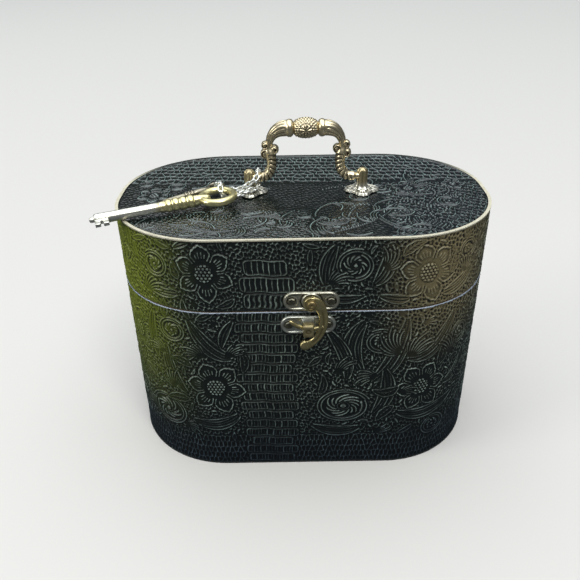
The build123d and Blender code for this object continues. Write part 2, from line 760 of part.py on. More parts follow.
# Large key: round bow, ringed neck whose tongue stands in the bow, long shank, nub and flat bit
large_frame = key_frame(large_key_from_post, large_key_turn, large_key_tilt, large_key_lift)
with BuildPart() as large_key:
    key_bow(large_key_bow_radius, large_key_bow_wire, large_frame)
    shank_plane = Plane(origin=large_frame.origin, x_dir=large_frame.y_dir, z_dir=large_frame.x_dir)
    tongue_tip = large_key_bow_radius - large_key_tongue
    stations = [(tongue_tip, large_key_shank_radius * 0.4), (tongue_tip + 1.2, large_key_shank_radius * 0.8)]
    stations.append((large_key_ring_start - 1.0, large_key_shank_radius))
    for ring in range(large_key_ring_count):
        start = large_key_ring_start + ring * large_key_ring_pitch
        stations.append((start + large_key_ring_pitch * 0.2, large_key_shank_radius + large_key_ring_height))
        stations.append((start + large_key_ring_pitch * 0.7, large_key_shank_radius + large_key_ring_height))
        stations.append((start + large_key_ring_pitch * 0.9, large_key_shank_radius))
    stations.append((large_key_length, large_key_shank_radius))
    turned(shank_plane, stations, key_sides)
    with BuildSketch(shank_plane.offset(large_key_length)):
        RegularPolygon(large_key_nub_radius, key_sides)
    extrude(amount=large_key_nub_length)
    key_bit(
        large_frame,
        large_key_length,
        large_key_bit_length,
        large_key_bit_reach,
        large_key_bit_thickness,
        large_key_ward,
    )
save(large_key, "large_key")

# Small key: small round bow, three collars and a narrow bit
small_frame = key_frame(small_key_from_post, small_key_turn, small_key_tilt, small_key_lift)
with BuildPart() as small_key:
    key_bow(small_key_bow_radius, small_key_bow_wire, small_frame)
    shank_plane = Plane(origin=small_frame.origin, x_dir=small_frame.y_dir, z_dir=small_frame.x_dir)
    neck = small_key_bow_radius + small_key_bow_wire
    stations = [(small_key_bow_radius, small_key_bow_wire / 2)]
    stations.append((neck + small_key_bow_wire, small_key_shank_radius))
    for collar in range(small_key_collar_count):
        start = small_key_collar_start + collar * small_key_collar_pitch
        stations.append((start, small_key_shank_radius))
        stations.append((start + small_key_collar_pitch * 0.2, small_key_collar_radius))
        stations.append((start + small_key_collar_pitch * 0.6, small_key_collar_radius))
        stations.append((start + small_key_collar_pitch * 0.8, small_key_shank_radius))
    stations.append((small_key_length, small_key_shank_radius))
    turned(shank_plane, stations, key_sides)
    key_bit(
        small_frame,
        small_key_length,
        small_key_bit_length,
        small_key_bit_reach,
        small_key_bit_thickness,
        small_key_ward,
    )
save(small_key, "small_key")

# Key chain: a closed loop of links round the bail's left stub, through both bows
# The route's points are chosen by hand, from the foot of the left post, with heights above the lid
chain_route = [
    (5.7, 0.0, 14.3),
    (5.5, 3.9, 11.8),
    (5.5, 3.6, 7.6),
    (5.5, 0.0, 5.4),
    (4.7, -5.0, 4.4),
    (-0.4, -8.2, 4.0),
    (-5.9, -11.8, 3.0),
    (-10.5, -14.2, 2.4),
    (-13.5, -16.6, 2.8),
    (-16.4, -19.4, 5.8),
    (-17.3, -18.2, 9.6),
    (-17.7, -14.2, 11.2),
    (-19.5, -8.6, 9.4),
    (-21.7, -4.7, 6.7),
    (-21.2, -2.2, 3.5),
    (-17.3, -0.8, 2.4),
    (-12.3, -2.4, 2.8),
    (-6.9, -5.8, 4.2),
    (-1.9, -6.3, 6.8),
    (4.5, -5.4, 11.2),
]
route_points = [Vector(handle_xs["left"] + a, b, lid_top + c) for a, b, c in chain_route]
route_edge = Edge.make_spline(route_points, periodic=True)
chain_opening_length = chain_link_length - 2 * chain_wire
chain_opening_width = chain_link_width - 2 * chain_wire
chain_pitch = chain_opening_length - chain_slack
chain_links = 2 * ceil(route_edge.length / chain_pitch / 2)


def chain_frames():
    """One plane for each link, along the route, each turned a quarter from its neighbours."""
    step = route_edge.length / chain_links
    spots = [route_edge.position_at(i * step, PositionMode.LENGTH) for i in range(chain_links)]
    tangents = []
    for index in range(chain_links):
        tangents.append((spots[(index + 1) % chain_links] - spots[index - 1]).normalized())
    normals = [Vector(0, sin(chain_first_roll), cos(chain_first_roll))]
    for tangent in tangents + [tangents[0]]:
        normals.append((normals[-1] - tangent * normals[-1].dot(tangent)).normalized())
    first, last = normals[1], normals[-1]
    drift = atan2(tangents[0].dot(first.cross(last)), first.dot(last))
    frames = []
    for index, (spot, tangent) in enumerate(zip(spots, tangents)):
        roll = (index % 2) * pi / 2 - (drift - pi * round(drift / pi)) * index / chain_links
        facing = normals[index + 1] * cos(roll) + tangent.cross(normals[index + 1]) * sin(roll)
        frames.append(Plane(origin=spot, x_dir=tangent, z_dir=facing))
    return frames


with BuildPart() as key_chain:
    for frame in chain_frames():
        with BuildSketch(frame.offset(-chain_wire / 2)):
            outer_link = Rectangle(chain_link_length, chain_link_width)
            chamfer(outer_link.vertices(), chain_wire)
            Rectangle(chain_opening_length, chain_opening_width, mode=Mode.SUBTRACT)
        extrude(amount=chain_wire)
save(key_chain, "key_chain")
print(f"chain {chain_links} links, {route_edge.length:.1f} mm round")
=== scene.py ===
"""Looks of the oval vanity case: embossed leatherette, cast handle, swing latch, two keys and their chain."""

import math

import bmesh
import bpy
import numpy as np
from mathutils import Matrix, Vector


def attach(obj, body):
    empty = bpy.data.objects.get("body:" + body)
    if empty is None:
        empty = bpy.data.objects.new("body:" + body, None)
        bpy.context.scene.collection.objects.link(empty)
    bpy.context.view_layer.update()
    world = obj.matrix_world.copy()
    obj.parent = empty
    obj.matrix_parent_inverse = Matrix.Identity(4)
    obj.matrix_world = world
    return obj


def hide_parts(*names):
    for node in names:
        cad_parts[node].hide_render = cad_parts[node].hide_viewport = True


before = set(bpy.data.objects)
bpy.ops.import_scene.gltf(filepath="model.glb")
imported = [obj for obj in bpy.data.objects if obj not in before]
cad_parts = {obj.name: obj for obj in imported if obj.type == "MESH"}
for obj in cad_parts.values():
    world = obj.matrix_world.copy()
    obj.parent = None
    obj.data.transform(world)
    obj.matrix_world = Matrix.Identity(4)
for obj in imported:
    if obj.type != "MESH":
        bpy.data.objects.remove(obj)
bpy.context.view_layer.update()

# Camera and studio
# The photographer stood half a metre off and looked down on the case's front. The case stands on a
# plain pale sweep under three soft lamps and a broad high light, in a room dim towards its walls.
camera_place = (-0.00828, -0.38795, 0.32644)
camera_pitch = 0.5352
camera_yaw = -0.0024
camera_roll = -0.018
focal_length_pixels = 628
picture_pixels = 580
floor_half_width = 6
floor_drop = 0.0002


def shade(red, green, blue):
    """A colour as a picture editor gives it, 0 to 255, turned into light."""
    levels = []
    for value in (red, green, blue):
        value /= 255
        levels.append(value / 12.92 if value <= 0.04045 else ((value + 0.055) / 1.055) ** 2.4)
    return (*levels, 1.0)


def put(name, data):
    """Puts a camera, lamp or mesh in the scene."""
    thing = bpy.data.objects.new(name, data)
    bpy.context.scene.collection.objects.link(thing)
    return thing


def set_sockets(tree, node, sockets):
    """Gives each named socket of a node its value, or joins it to another node's output."""
    for key, value in sockets.items():
        if isinstance(value, bpy.types.NodeSocket):
            tree.links.new(value, node.inputs[key])
        else:
            node.inputs[key].default_value = value


def add_node(tree, kind, sockets=None, **settings):
    """A new shader node with its settings and sockets."""
    node = tree.nodes.new("ShaderNode" + kind)
    for key, value in settings.items():
        setattr(node, key, value)
    set_sockets(tree, node, sockets or {})
    return node


def new_material(name):
    """A material with nodes: its tree and its Principled shader."""
    material = bpy.data.materials.new(name)
    material.use_nodes = True
    return material, material.node_tree, material.node_tree.nodes["Principled BSDF"]


def camera_only(tree, seen, felt, end):
    """Shows the camera one shader, and reflections and bounces another."""
    path = add_node(tree, "LightPath")
    rays = {"Fac": path.outputs["Is Camera Ray"], 1: felt.outputs[0], 2: seen.outputs[0]}
    both = add_node(tree, "MixShader", rays)
    set_sockets(tree, tree.nodes[end], {"Surface": both.outputs["Shader"]})


def soft_lamp(name, place, aim, size, power, tint):
    """A large square lamp that looks at a point above the middle of the floor."""
    data = bpy.data.lights.new(name, "AREA")
    data.size, data.energy, data.color = size, power, tint
    look = (Vector((0, 0, aim)) - Vector(place)).to_track_quat("-Z", "Y")
    put(name, data).matrix_world = Matrix.Translation(place) @ look.to_matrix().to_4x4()


camera_data = bpy.data.cameras.new("camera")
camera_data.sensor_width = 36
camera_data.lens = focal_length_pixels * camera_data.sensor_width / picture_pixels
camera_data.clip_start = 0.01
camera = put("camera", camera_data)
facing = Matrix.Rotation(-camera_yaw, 4, "Z") @ Matrix.Rotation(math.pi / 2 - camera_pitch, 4, "X")
camera.matrix_world = Matrix.Translation(camera_place) @ facing @ Matrix.Rotation(camera_roll, 4, "Z")
bpy.context.scene.camera = camera
bpy.context.scene.view_settings.view_transform = "Standard"

soft_lamp("lamp_back", (-0.9, 2.0, 2.4), 0.12, 1.6, 5, (0.93, 0.98, 1.0))
soft_lamp("lamp_left", (-2.8, -0.9, 1.3), 0.1, 1.2, 30, (1.0, 0.99, 0.93))
soft_lamp("lamp_front", (0.7, -1.7, 2.6), 0.08, 1.1, 36, (1.0, 0.98, 0.95))
sky_light = bpy.data.lights.new("high_sky", "SUN")
sky_light.energy, sky_light.angle = 0.5, math.radians(75)
overhead = Vector((-0.12, 0.10, 1)).to_track_quat("Z", "Y")
put("high_sky", sky_light).matrix_world = overhead.to_matrix().to_4x4()

world = bpy.data.worlds.new("studio")
bpy.context.scene.world = world
world.use_nodes = True
air = world.node_tree
air_seen = air.nodes["Background"]
set_sockets(air, air_seen, {"Color": shade(218, 217, 215)})
air_place = add_node(air, "TexCoord").outputs["Generated"]
air_level = add_node(air, "SeparateXYZ", {"Vector": air_place}).outputs["Z"]
air_ramp = add_node(air, "ValToRGB", {"Fac": air_level})
for index, position, colour in ((0, 0.55, (0.03, 0.034, 0.034, 1)), (1, 0.90, (0.92, 0.97, 1.0, 1))):
    air_ramp.color_ramp.elements[index].position = position
    air_ramp.color_ramp.elements[index].color = colour
air_felt = add_node(air, "Background", {"Color": air_ramp.outputs["Color"], "Strength": 1.9})
camera_only(air, air_seen, air_felt, "World Output")

floor_mesh = bpy.data.meshes.new("floor")
bm = bmesh.new()
floor_level = Matrix.Translation((0, 0, -floor_drop))
bmesh.ops.create_grid(bm, x_segments=1, y_segments=1, size=floor_half_width, matrix=floor_level)
bm.to_mesh(floor_mesh)
bm.free()
pale_paper, paper_tree, paper_shader = new_material("pale_paper")
paper = {"Base Color": shade(205, 203, 200), "Roughness": 0.95, "Specular IOR Level": 0.0}
set_sockets(paper_tree, paper_shader, paper)
paper_felt = add_node(paper_tree, "BsdfDiffuse", {"Color": (0.05, 0.055, 0.06, 1)})
camera_only(paper_tree, paper_shader, paper_felt, "Material Output")
floor_mesh.materials.append(pale_paper)
floor = put("floor", floor_mesh)


# Board and lining
# Stiff grey-brown board bent round the plan, with flat boards set in as floor and lid. A dark woven
# cloth is glued inside, so the board shows only at the rims of the open case.
def dress(node_names, material):
    """Gives CAD pieces that show as they are their material."""
    for name in node_names:
        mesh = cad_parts[name].data
        mesh.materials.clear()
        mesh.materials.append(material)


def new_group(name, takes, gives):
    """A node group with its named sockets: the group, what it is given, and the node that gives."""
    group = bpy.data.node_groups.new(name, "ShaderNodeTree")
    for way, sockets in (("INPUT", takes), ("OUTPUT", gives)):
        for socket, kind in sockets.items():
            group.interface.new_socket(socket, in_out=way, socket_type="NodeSocket" + kind)
    return group, group.nodes.new("NodeGroupInput").outputs, group.nodes.new("NodeGroupOutput")


def noise(tree, scale, detail, roughness=0.5):
    """A cloudy value, fixed to the object."""
    place = add_node(tree, "TexCoord").outputs["Object"]
    sockets = {"Vector": place, "Scale": scale, "Detail": detail, "Roughness": roughness}
    return add_node(tree, "TexNoise", sockets).outputs["Fac"]


def blend(tree, factor, first, second, way="MIX"):
    """A colour between two others."""
    sockets = {"Factor": factor, "A": first, "B": second}
    return add_node(tree, "Mix", sockets, data_type="RGBA", blend_type=way).outputs["Result"]


def bump(tree, height, strength, distance):
    """The normal that a height gives a shader."""
    sockets = {"Height": height, "Strength": strength, "Distance": distance}
    return add_node(tree, "Bump", sockets).outputs["Normal"]


colour_and_height = {"Color": "Color", "Height": "Float"}
fibre_speckle, given, result = new_group(
    "fibre_speckle", {"Light": "Color", "Dark": "Color", "Scale": "Float"}, colour_and_height
)
fibres = noise(fibre_speckle, given["Scale"], 5, 0.65)
speckle_colour = blend(fibre_speckle, fibres, given["Dark"], given["Light"])
set_sockets(fibre_speckle, result, {"Color": speckle_colour, "Height": fibres})


def speckled(name, light, dark, scale, rough, depth, strength=0.5):
    """A dull fibrous material such as board, cloth or plain leatherette."""
    material, tree, shader = new_material(name)
    tones = {"Light": light, "Dark": dark, "Scale": scale}
    speckle = add_node(tree, "Group", tones, node_tree=fibre_speckle).outputs
    normal = bump(tree, speckle["Height"], strength, depth)
    set_sockets(tree, shader, {"Base Color": speckle["Color"], "Roughness": rough, "Normal": normal})
    return material


bent_board = speckled("bent_board", shade(176, 158, 128), shade(128, 110, 84), 1400, 0.85, 0.0002)
lining_cloth = speckled("lining_cloth", shade(74, 62, 54), shade(40, 33, 29), 2600, 0.9, 0.0003)
plain_leatherette = speckled("base_leatherette", shade(40, 46, 46), shade(22, 26, 28), 900, 0.6, 0.0003)
dress(["body_wall", "lid_wall", "base_panel", "lid_top_panel"], bent_board)
dress(["body_lining", "base_lining", "lid_wall_lining", "lid_top_lining"], lining_cloth)
dress(["base_cover"], plain_leatherette)


# Embossed covering
# One sheet of semi-gloss leatherette is rolled with a tooled pattern, a crocodile belly with flowers,
# scrolls and leaves beside it, then wrapped round the walls and laid on the lid. Its ridges are
# painted light, partly as wear and partly as painted highlight, and its furrows dark as painted shade.
# It is olive at the left end and bronze at the right, partly its pearl coat and partly painted sheen,
# and its top is painted bluer towards the right as a painted reflection.
MM = 0.001
front_half = 54.0
end_half = 6.5
end_radius = 66.0
quarter = end_radius * math.pi / 2
half_girth = 2 * front_half + 2 * end_half + 2 * quarter
half_width = front_half + end_radius
half_depth = end_half + end_radius
emboss_step = 0.35
emboss_depth = 0.76
cover_thickness = 0.8
seam_low = 124.0
seam_high = 125.0
lid_crown = 172.0
side_top = 171.2
top_inset = 2.0
front_pitch = 0.42
back_pitch = 0.8
top_pitch = 0.48


def ease(values):
    """Runs smoothly from 0 to 1."""
    values = np.clip(values, 0, 1)
    return values * values * (3 - 2 * values)


def line(distance, width):
    """A raised cord's height at a distance from its middle."""
    return np.exp(-((distance / width) ** 2))


def plan(along):
    """Places and outward directions round the case's plan, from the front's middle, in mm."""
    side = np.where(along < 0, -1.0, 1.0)
    a = np.abs(along)
    first = np.clip((a - front_half) / end_radius, 0, math.pi / 2)
    second = np.clip((a - front_half - quarter - 2 * end_half) / end_radius, 0, math.pi / 2)
    turn = first + second
    flat_end = np.clip(a - front_half - quarter, 0, 2 * end_half)
    back = np.clip(a - front_half - 2 * quarter - 2 * end_half, 0, 2 * front_half)
    x = np.minimum(a, front_half) + end_radius * np.sin(turn) - back
    y = -end_half - end_radius * np.cos(turn) + flat_end
    return side * x, y, side * np.sin(turn), -np.cos(turn)


def new_sheet(low, high):
    """A flat field to tool, as heights on a fine square net: where it starts, and what is taken."""
    shape = (int((high[1] - low[1]) / emboss_step) + 2, int((high[0] - low[0]) / emboss_step) + 2)
    return {"low": low, "relief": np.zeros(shape), "used": np.zeros(shape)}


def window(sheet, centre, reach):
    """The part of a sheet within reach of a point, and how far its net points lie from it."""
    rows, columns = sheet["relief"].shape
    spans = []
    for axis, count in ((1, rows), (0, columns)):
        first = int((centre[axis] - reach - sheet["low"][axis]) / emboss_step)
        last = int((centre[axis] + reach - sheet["low"][axis]) / emboss_step) + 1
        spans.append(slice(max(0, min(first, count)), max(0, min(last, count))))
    across = sheet["low"][0] + emboss_step * np.arange(spans[1].start, spans[1].stop) - centre[0]
    up = sheet["low"][1] + emboss_step * np.arange(spans[0].start, spans[0].stop) - centre[1]
    return (tuple(spans), *np.meshgrid(across, up))


def press(sheet, part, height, inside):
    """Tools a motif into the sheet where it lies inside, and marks the place as taken."""
    relief = sheet["relief"][part]
    sheet["relief"][part] = relief * (1 - inside) + height * inside
    sheet["used"][part] = np.maximum(sheet["used"][part], inside)


def tool_flower(sheet, centre, reach, turn):
    """Pointed cupped petals with rolled rims and a comb of veins, and a wide middle of round seeds."""
    petals, veins = 6, 7
    part, p, q = window(sheet, centre, reach * 1.15)
    r, t = np.hypot(p, q), np.arctan2(q, p) - turn
    r = r * (1 + 0.05 * np.cos(2 * t + turn) + 0.03 * np.sin(5 * t))
    swing = (t * petals / (2 * math.pi)) % 1 - 0.5
    lobe = np.abs(2 * swing)
    edge = reach * (1.08 - 0.28 * lobe**0.95 - 0.20 * lobe**6 - 0.02 * np.sin(3.5 * math.pi * lobe) ** 2)
    inside = ease((edge + 1.1 - r) / 0.5)
    rim = line(edge - 0.7 - r, 0.75)
    across = np.abs(swing) * 2 * math.pi / petals * r
    to_fold = (0.5 - np.abs(swing)) * 2 * math.pi / petals * r
    bowl = 0.08 + 0.30 * line(r - 0.68 * reach, 0.22 * reach) * line(across, 0.20 * reach)
    comb = np.abs((swing * veins) % 1 - 0.5) * 2 * math.pi * r / petals / veins
    comb_end = reach * (0.88 - 0.30 * lobe) - r
    combs = line(comb, 0.5) * ease(r - 0.52 * reach) * ease(comb_end / 1.2) * ease((0.66 - lobe) / 0.1)
    curl = 0.9 * line(to_fold - 0.9, 0.5) * ease((r - 0.42 * reach) / 1.5)
    height = np.maximum(np.maximum(bowl, rim), np.maximum(combs, curl))
    height = height * (1 - 0.9 * line(to_fold, 0.4))
    ring = 0.36 * reach
    height = height * ease((r - ring) / 0.7)
    seed_wide, seed_high = 2.35, 2.05
    stagger = 0.5 * (np.floor(q / seed_high) % 2)
    seed_p = ((p / seed_wide + stagger) % 1 - 0.5) * seed_wide
    seed = np.hypot(seed_p, ((q / seed_high) % 1 - 0.5) * seed_high)
    seeds = (0.35 + 0.65 * line(seed - 0.55, 0.42)) * ease((1.12 - seed) / 0.35)
    height = height + seeds * ease((ring - 0.5 - r) / 0.5)
    press(sheet, part, np.clip(height, 0, 1) * ease((edge + 0.3 - r) / 0.4), inside)


def tool_fan(sheet, root, length, turn, spread, bend, strokes):
    """A fan of curved feathers from one root: each has two raised edges and a rounded tip."""
    part, p, q = window(sheet, root, length * 1.05)
    r, t = np.hypot(p, q), np.arctan2(q, p)
    lean = bend * (r / length) ** 1.4
    share = ((t - turn - lean + math.pi) % (2 * math.pi) - math.pi) / spread + 0.5
    feather = share * strokes
    across = np.abs(feather % 1 - 0.5) * spread * r / strokes
    half = 0.5 * spread * r / strokes
    uneven = 0.86 + 0.14 * np.sin(2.4 * np.floor(feather) + 7 * turn)
    reach = length * uneven * (0.62 + 0.38 * np.sin(math.pi * np.clip(share, 0, 1)) ** 0.7)
    tip = reach - 0.9 * half * (across / np.maximum(half, 0.1)) ** 2 - r
    height = 0.08 + 0.92 * line(across, 0.5) * ease((half - 0.4) / 0.3) * ease((tip - 0.6) / 0.6)
    height = np.maximum(height, 0.9 * line(tip - 0.5, 0.45) * ease((half - 0.9) / 0.3))
    gone = ease((share + 0.005) / 0.02) * ease((1.005 - share) / 0.02)
    inside = ease((reach + 0.6 - r) / 0.5) * gone * ease((r - 0.10 * length) / 0.6)
    press(sheet, part, np.clip(height, 0, 1) * ease((tip + 0.4) / 0.4), inside)


def tool_scroll(sheet, centre, reach, laps, start, hand, squash=1.0):
    """An oval whorl: a doubled ring that runs out as a tail, curved feathers inside, a knob for eye."""
    part, p, q = window(sheet, centre, reach * squash + 2)
    p = p / squash
    r = np.hypot(p, q)
    t = (hand * (np.arctan2(q, p) - start)) % (2 * math.pi)
    edge = reach * (1 - 0.17 * t / (2 * math.pi))
    step = np.minimum(np.abs(r - edge), np.abs(r - edge + 0.17 * reach * (t > 5.4)))
    height = np.maximum(line(step, 0.6), 0.9 * line(r - edge + 1.8, 0.5))
    inner = edge - 3.0
    strokes = 7 + round(reach / 4)
    feather = strokes * (t + 3.2 * laps * r / reach) / (2 * math.pi)
    near = np.abs(feather % 1 - 0.5) * 2 * math.pi * r / strokes
    grown = inner * (0.94 - 0.10 * np.sin(2.4 * np.floor(feather)))
    feathers = line(near * 0.8 - 0.25, 0.5) * ease((grown - r) / 0.8) * ease((r - 0.26 * reach) / 0.6)
    small = line(r - 0.22 * reach, 0.5) * 0.8
    knob = ease((0.13 * reach - r) / 0.5)
    height = np.maximum(np.maximum(height, feathers), np.maximum(small, knob))
    press(sheet, part, height, ease((edge + 0.9 - r) / 0.6))


def curve_distance(points, p, q):
    """Signed distance from a bent line, and how far along it the nearest spot lies, from 0 to 1."""
    start, middle, end = (np.array(point, float) for point in points)
    nearest, share, side = np.full(p.shape, 1e9), np.zeros(p.shape), np.zeros(p.shape)
    for step in np.linspace(0, 1, 40):
        spot = (1 - step) ** 2 * start + 2 * step * (1 - step) * middle + step**2 * end
        ahead = 2 * (1 - step) * (middle - start) + 2 * step * (end - middle)
        ahead = ahead / np.hypot(*ahead)
        far = np.hypot(p - spot[0], q - spot[1])
        closer = far < nearest
        nearest = np.where(closer, far, nearest)
        share = np.where(closer, step, share)
        side = np.where(closer, ahead[0] * (q - spot[1]) - ahead[1] * (p - spot[0]), side)
    return nearest * np.where(side < 0, -1, 1), share


def follow(sheet, start, middle, end, width):
    """The part of a sheet round a bent line: distances from it, shares along it, and its faded ends."""
    points = np.array([start, middle, end], float)
    centre = points.mean(0)
    part, p, q = window(sheet, centre, float(np.abs(points - centre).max()) + width + 1)
    away, share = curve_distance(points, p + centre[0], q + centre[1])
    length = float(np.hypot(*(points[2] - points[0])))
    return part, away, share, ease(share / 0.03) * ease((1 - share) / 0.03), length


def tool_frond(sheet, start, middle, end, width, pitch):
    """A sweeping leaf of side-by-side cords along a bent line, with a raised rim."""
    part, away, share, ends, _ = follow(sheet, start, middle, end, width)
    gap = width * np.sin(math.pi * (0.06 + 0.9 * share)) ** 0.6 - np.abs(away)
    cords = line(np.abs((away / pitch + 0.5) % 1 - 0.5) * pitch, 0.42)
    height = np.maximum(0.12 + 0.74 * cords * ease((gap - 0.8) / 0.5), line(gap - 0.5, 0.55))
    press(sheet, part, height, ease((gap + 0.7) / 0.6) * ends)


def tool_leaf(sheet, root, middle, tip, width):
    """A pointed leaf along a bent line: rim, mid-rib and slanting veins, lobed at its edge."""
    part, away, share, ends, length = follow(sheet, root, middle, tip, width)
    veins = (share * length - 1.2 * np.abs(away)) / 2.6
    half = width * np.sin(math.pi * np.clip(share, 0, 1) ** 0.8) ** 0.8
    gap = half * (0.88 + 0.12 * np.abs(np.cos(math.pi * share * length / 5))) - np.abs(away)
    height = 0.25 + 0.6 * line(np.abs((veins + 0.5) % 1 - 0.5) * 2.6, 0.42) * ease((gap - 0.9) / 0.6)
    height = np.maximum(height, line(gap - 0.5, 0.5))
    height = np.maximum(height, 0.95 * line(away, 0.5) * ease((0.95 - share) / 0.1))
    press(sheet, part, height, ease((gap + 0.6) / 0.5) * ends)


def tool_stem(sheet, start, middle, end, width, dots):
    """One thin raised cord along a bent line, whole or broken into dots, with a plain margin."""
    part, away, share, _, length = follow(sheet, start, middle, end, 1)
    height = line(away, width)
    if dots:
        height = height * ease(0.5 + 1.2 * np.cos(2 * math.pi * share * (1.15 * length) / 2.6))
    margin = ease((3.0 * width - np.abs(away)) / width)
    press(sheet, part, height, margin * (share > 0.02) * (share < 0.98))


def tool_scales(sheet, low, high, cell, jitter, slant, soft, seed, rise=0.8):
    """Small rounded scales: raised lines between the cells of an uneven net, over a rectangle."""
    middle = ((low[0] + high[0]) / 2, (low[1] + high[1]) / 2)
    part, p, q = window(sheet, middle, max(high[0] - low[0], high[1] - low[1]) / 2)
    a = (p + middle[0]) / cell[0]
    b = (q + middle[1] + slant * p) / cell[1]
    shift = np.random.default_rng(seed).uniform(-jitter, jitter, (64, 64, 2))
    first, second = np.full(p.shape, 9.0), np.full(p.shape, 9.0)
    row = np.floor(b).astype(int)
    for down in (-1, 0, 1):
        stagger = 0.5 * ((row + down) % 2)
        column = np.floor(a - stagger).astype(int)
        for side in (-1, 0, 1):
            move = shift[(row + down) % 64, (column + side) % 64]
            da = (column + side + 0.5 + stagger + move[..., 0] - a) * cell[0]
            db = (row + down + 0.5 + move[..., 1] - b) * cell[1]
            far = np.hypot(da, db)
            second = np.minimum(second, np.maximum(first, far))
            first = np.minimum(first, far)
    height = rise * line(second - first, 0.6)
    room_p = ease((p + middle[0] - low[0]) / soft) * ease((high[0] - p - middle[0]) / soft)
    room_q = ease((q + middle[1] - low[1]) / soft) * ease((high[1] - q - middle[1]) / soft)
    press(sheet, part, height, (1 - sheet["used"][part]) * room_p * room_q)


def tool_belly(sheet, centre, low, high, half_low, half_high, row_height, rib_pitch, crisp):
    """Crocodile belly: square-ended rows between doubled furrows, each crossed by upright ribs."""
    middle = (centre, (low + high) / 2)
    part, p, q = window(sheet, middle, max((high - low) / 2, half_high + 4))
    p = p - 1.2 * np.sin((q + middle[1]) / 17)
    level = q + middle[1] + 0.5 * np.sin(p / 6) + 0.25 * np.sin(p / 2.1)
    row = np.floor((level - low) / row_height)
    within = ((level - low) / row_height - row - 0.5) * row_height
    half = half_low + (half_high - half_low) * (level - low) / (high - low) + 2.2 * np.sin(row * 2.3)
    corner = 0.32 * row_height
    past_p = np.maximum(np.abs(p) - half + corner, 0)
    past_q = np.maximum(np.abs(within) - row_height / 2 + corner, 0)
    gap = corner - 0.5 - np.hypot(past_p, past_q)
    height = 0.05 + 0.8 * line(gap - 0.45, 0.5)
    ribs = (p + 1.5 * np.sin(row * 1.7)) / rib_pitch
    ribs = ribs + 0.16 * np.sin(p * 1.9 + row) + 0.06 * np.sin(within + row)
    column = np.floor(ribs)
    rib = np.abs(ribs - column - 0.5) * rib_pitch
    strong = 0.9 + 0.1 * np.sin(column * 2.9 + row * 1.3)
    height = np.maximum(height, strong * line(rib, crisp) * ease((gap - 0.5) / 0.4))
    height = height * ease((gap + 0.35) / 0.35)
    press(sheet, part, height, ease((gap + 0.9) / 0.4) * (level > low) * (level < high))


def bearings(turn):
    """The directions ahead and aside at a turn."""
    ahead = np.array([math.cos(turn), math.sin(turn)])
    return ahead, np.array([-ahead[1], ahead[0]])


def tool_fill(sheet, low, high, tries, seed):
    """Small fronds, leaves and curls wherever a stretch of ground is still bare."""
    dice = np.random.default_rng(seed)
    for index in range(tries):
        spot = np.array([dice.uniform(low[0], high[0]), dice.uniform(low[1], high[1])])
        turn = dice.uniform(0, 2 * math.pi)
        size = dice.uniform(8, 17) if index < tries * 0.5 else dice.uniform(3.5, 8)
        ahead, aside = bearings(turn)
        bend = spot + size * (0.5 * ahead + dice.uniform(-0.4, 0.4) * aside)
        tip = spot + size * ahead
        taken = window(sheet, (spot + tip) / 2, size * 0.33)[0]
        if sheet["used"][taken].size == 0 or sheet["used"][taken].max() > 0.05:
            continue
        if index % 3 == 2 and size > 5:
            tool_fan(sheet, spot, size * 0.8, turn, dice.uniform(0.9, 1.6), dice.uniform(-0.8, 0.8), 5)
        elif index % 3 == 1:
            tool_frond(sheet, spot, bend, tip, size * 0.17, 1.7)
        else:
            tool_leaf(sheet, spot, bend, tip, size * 0.2)


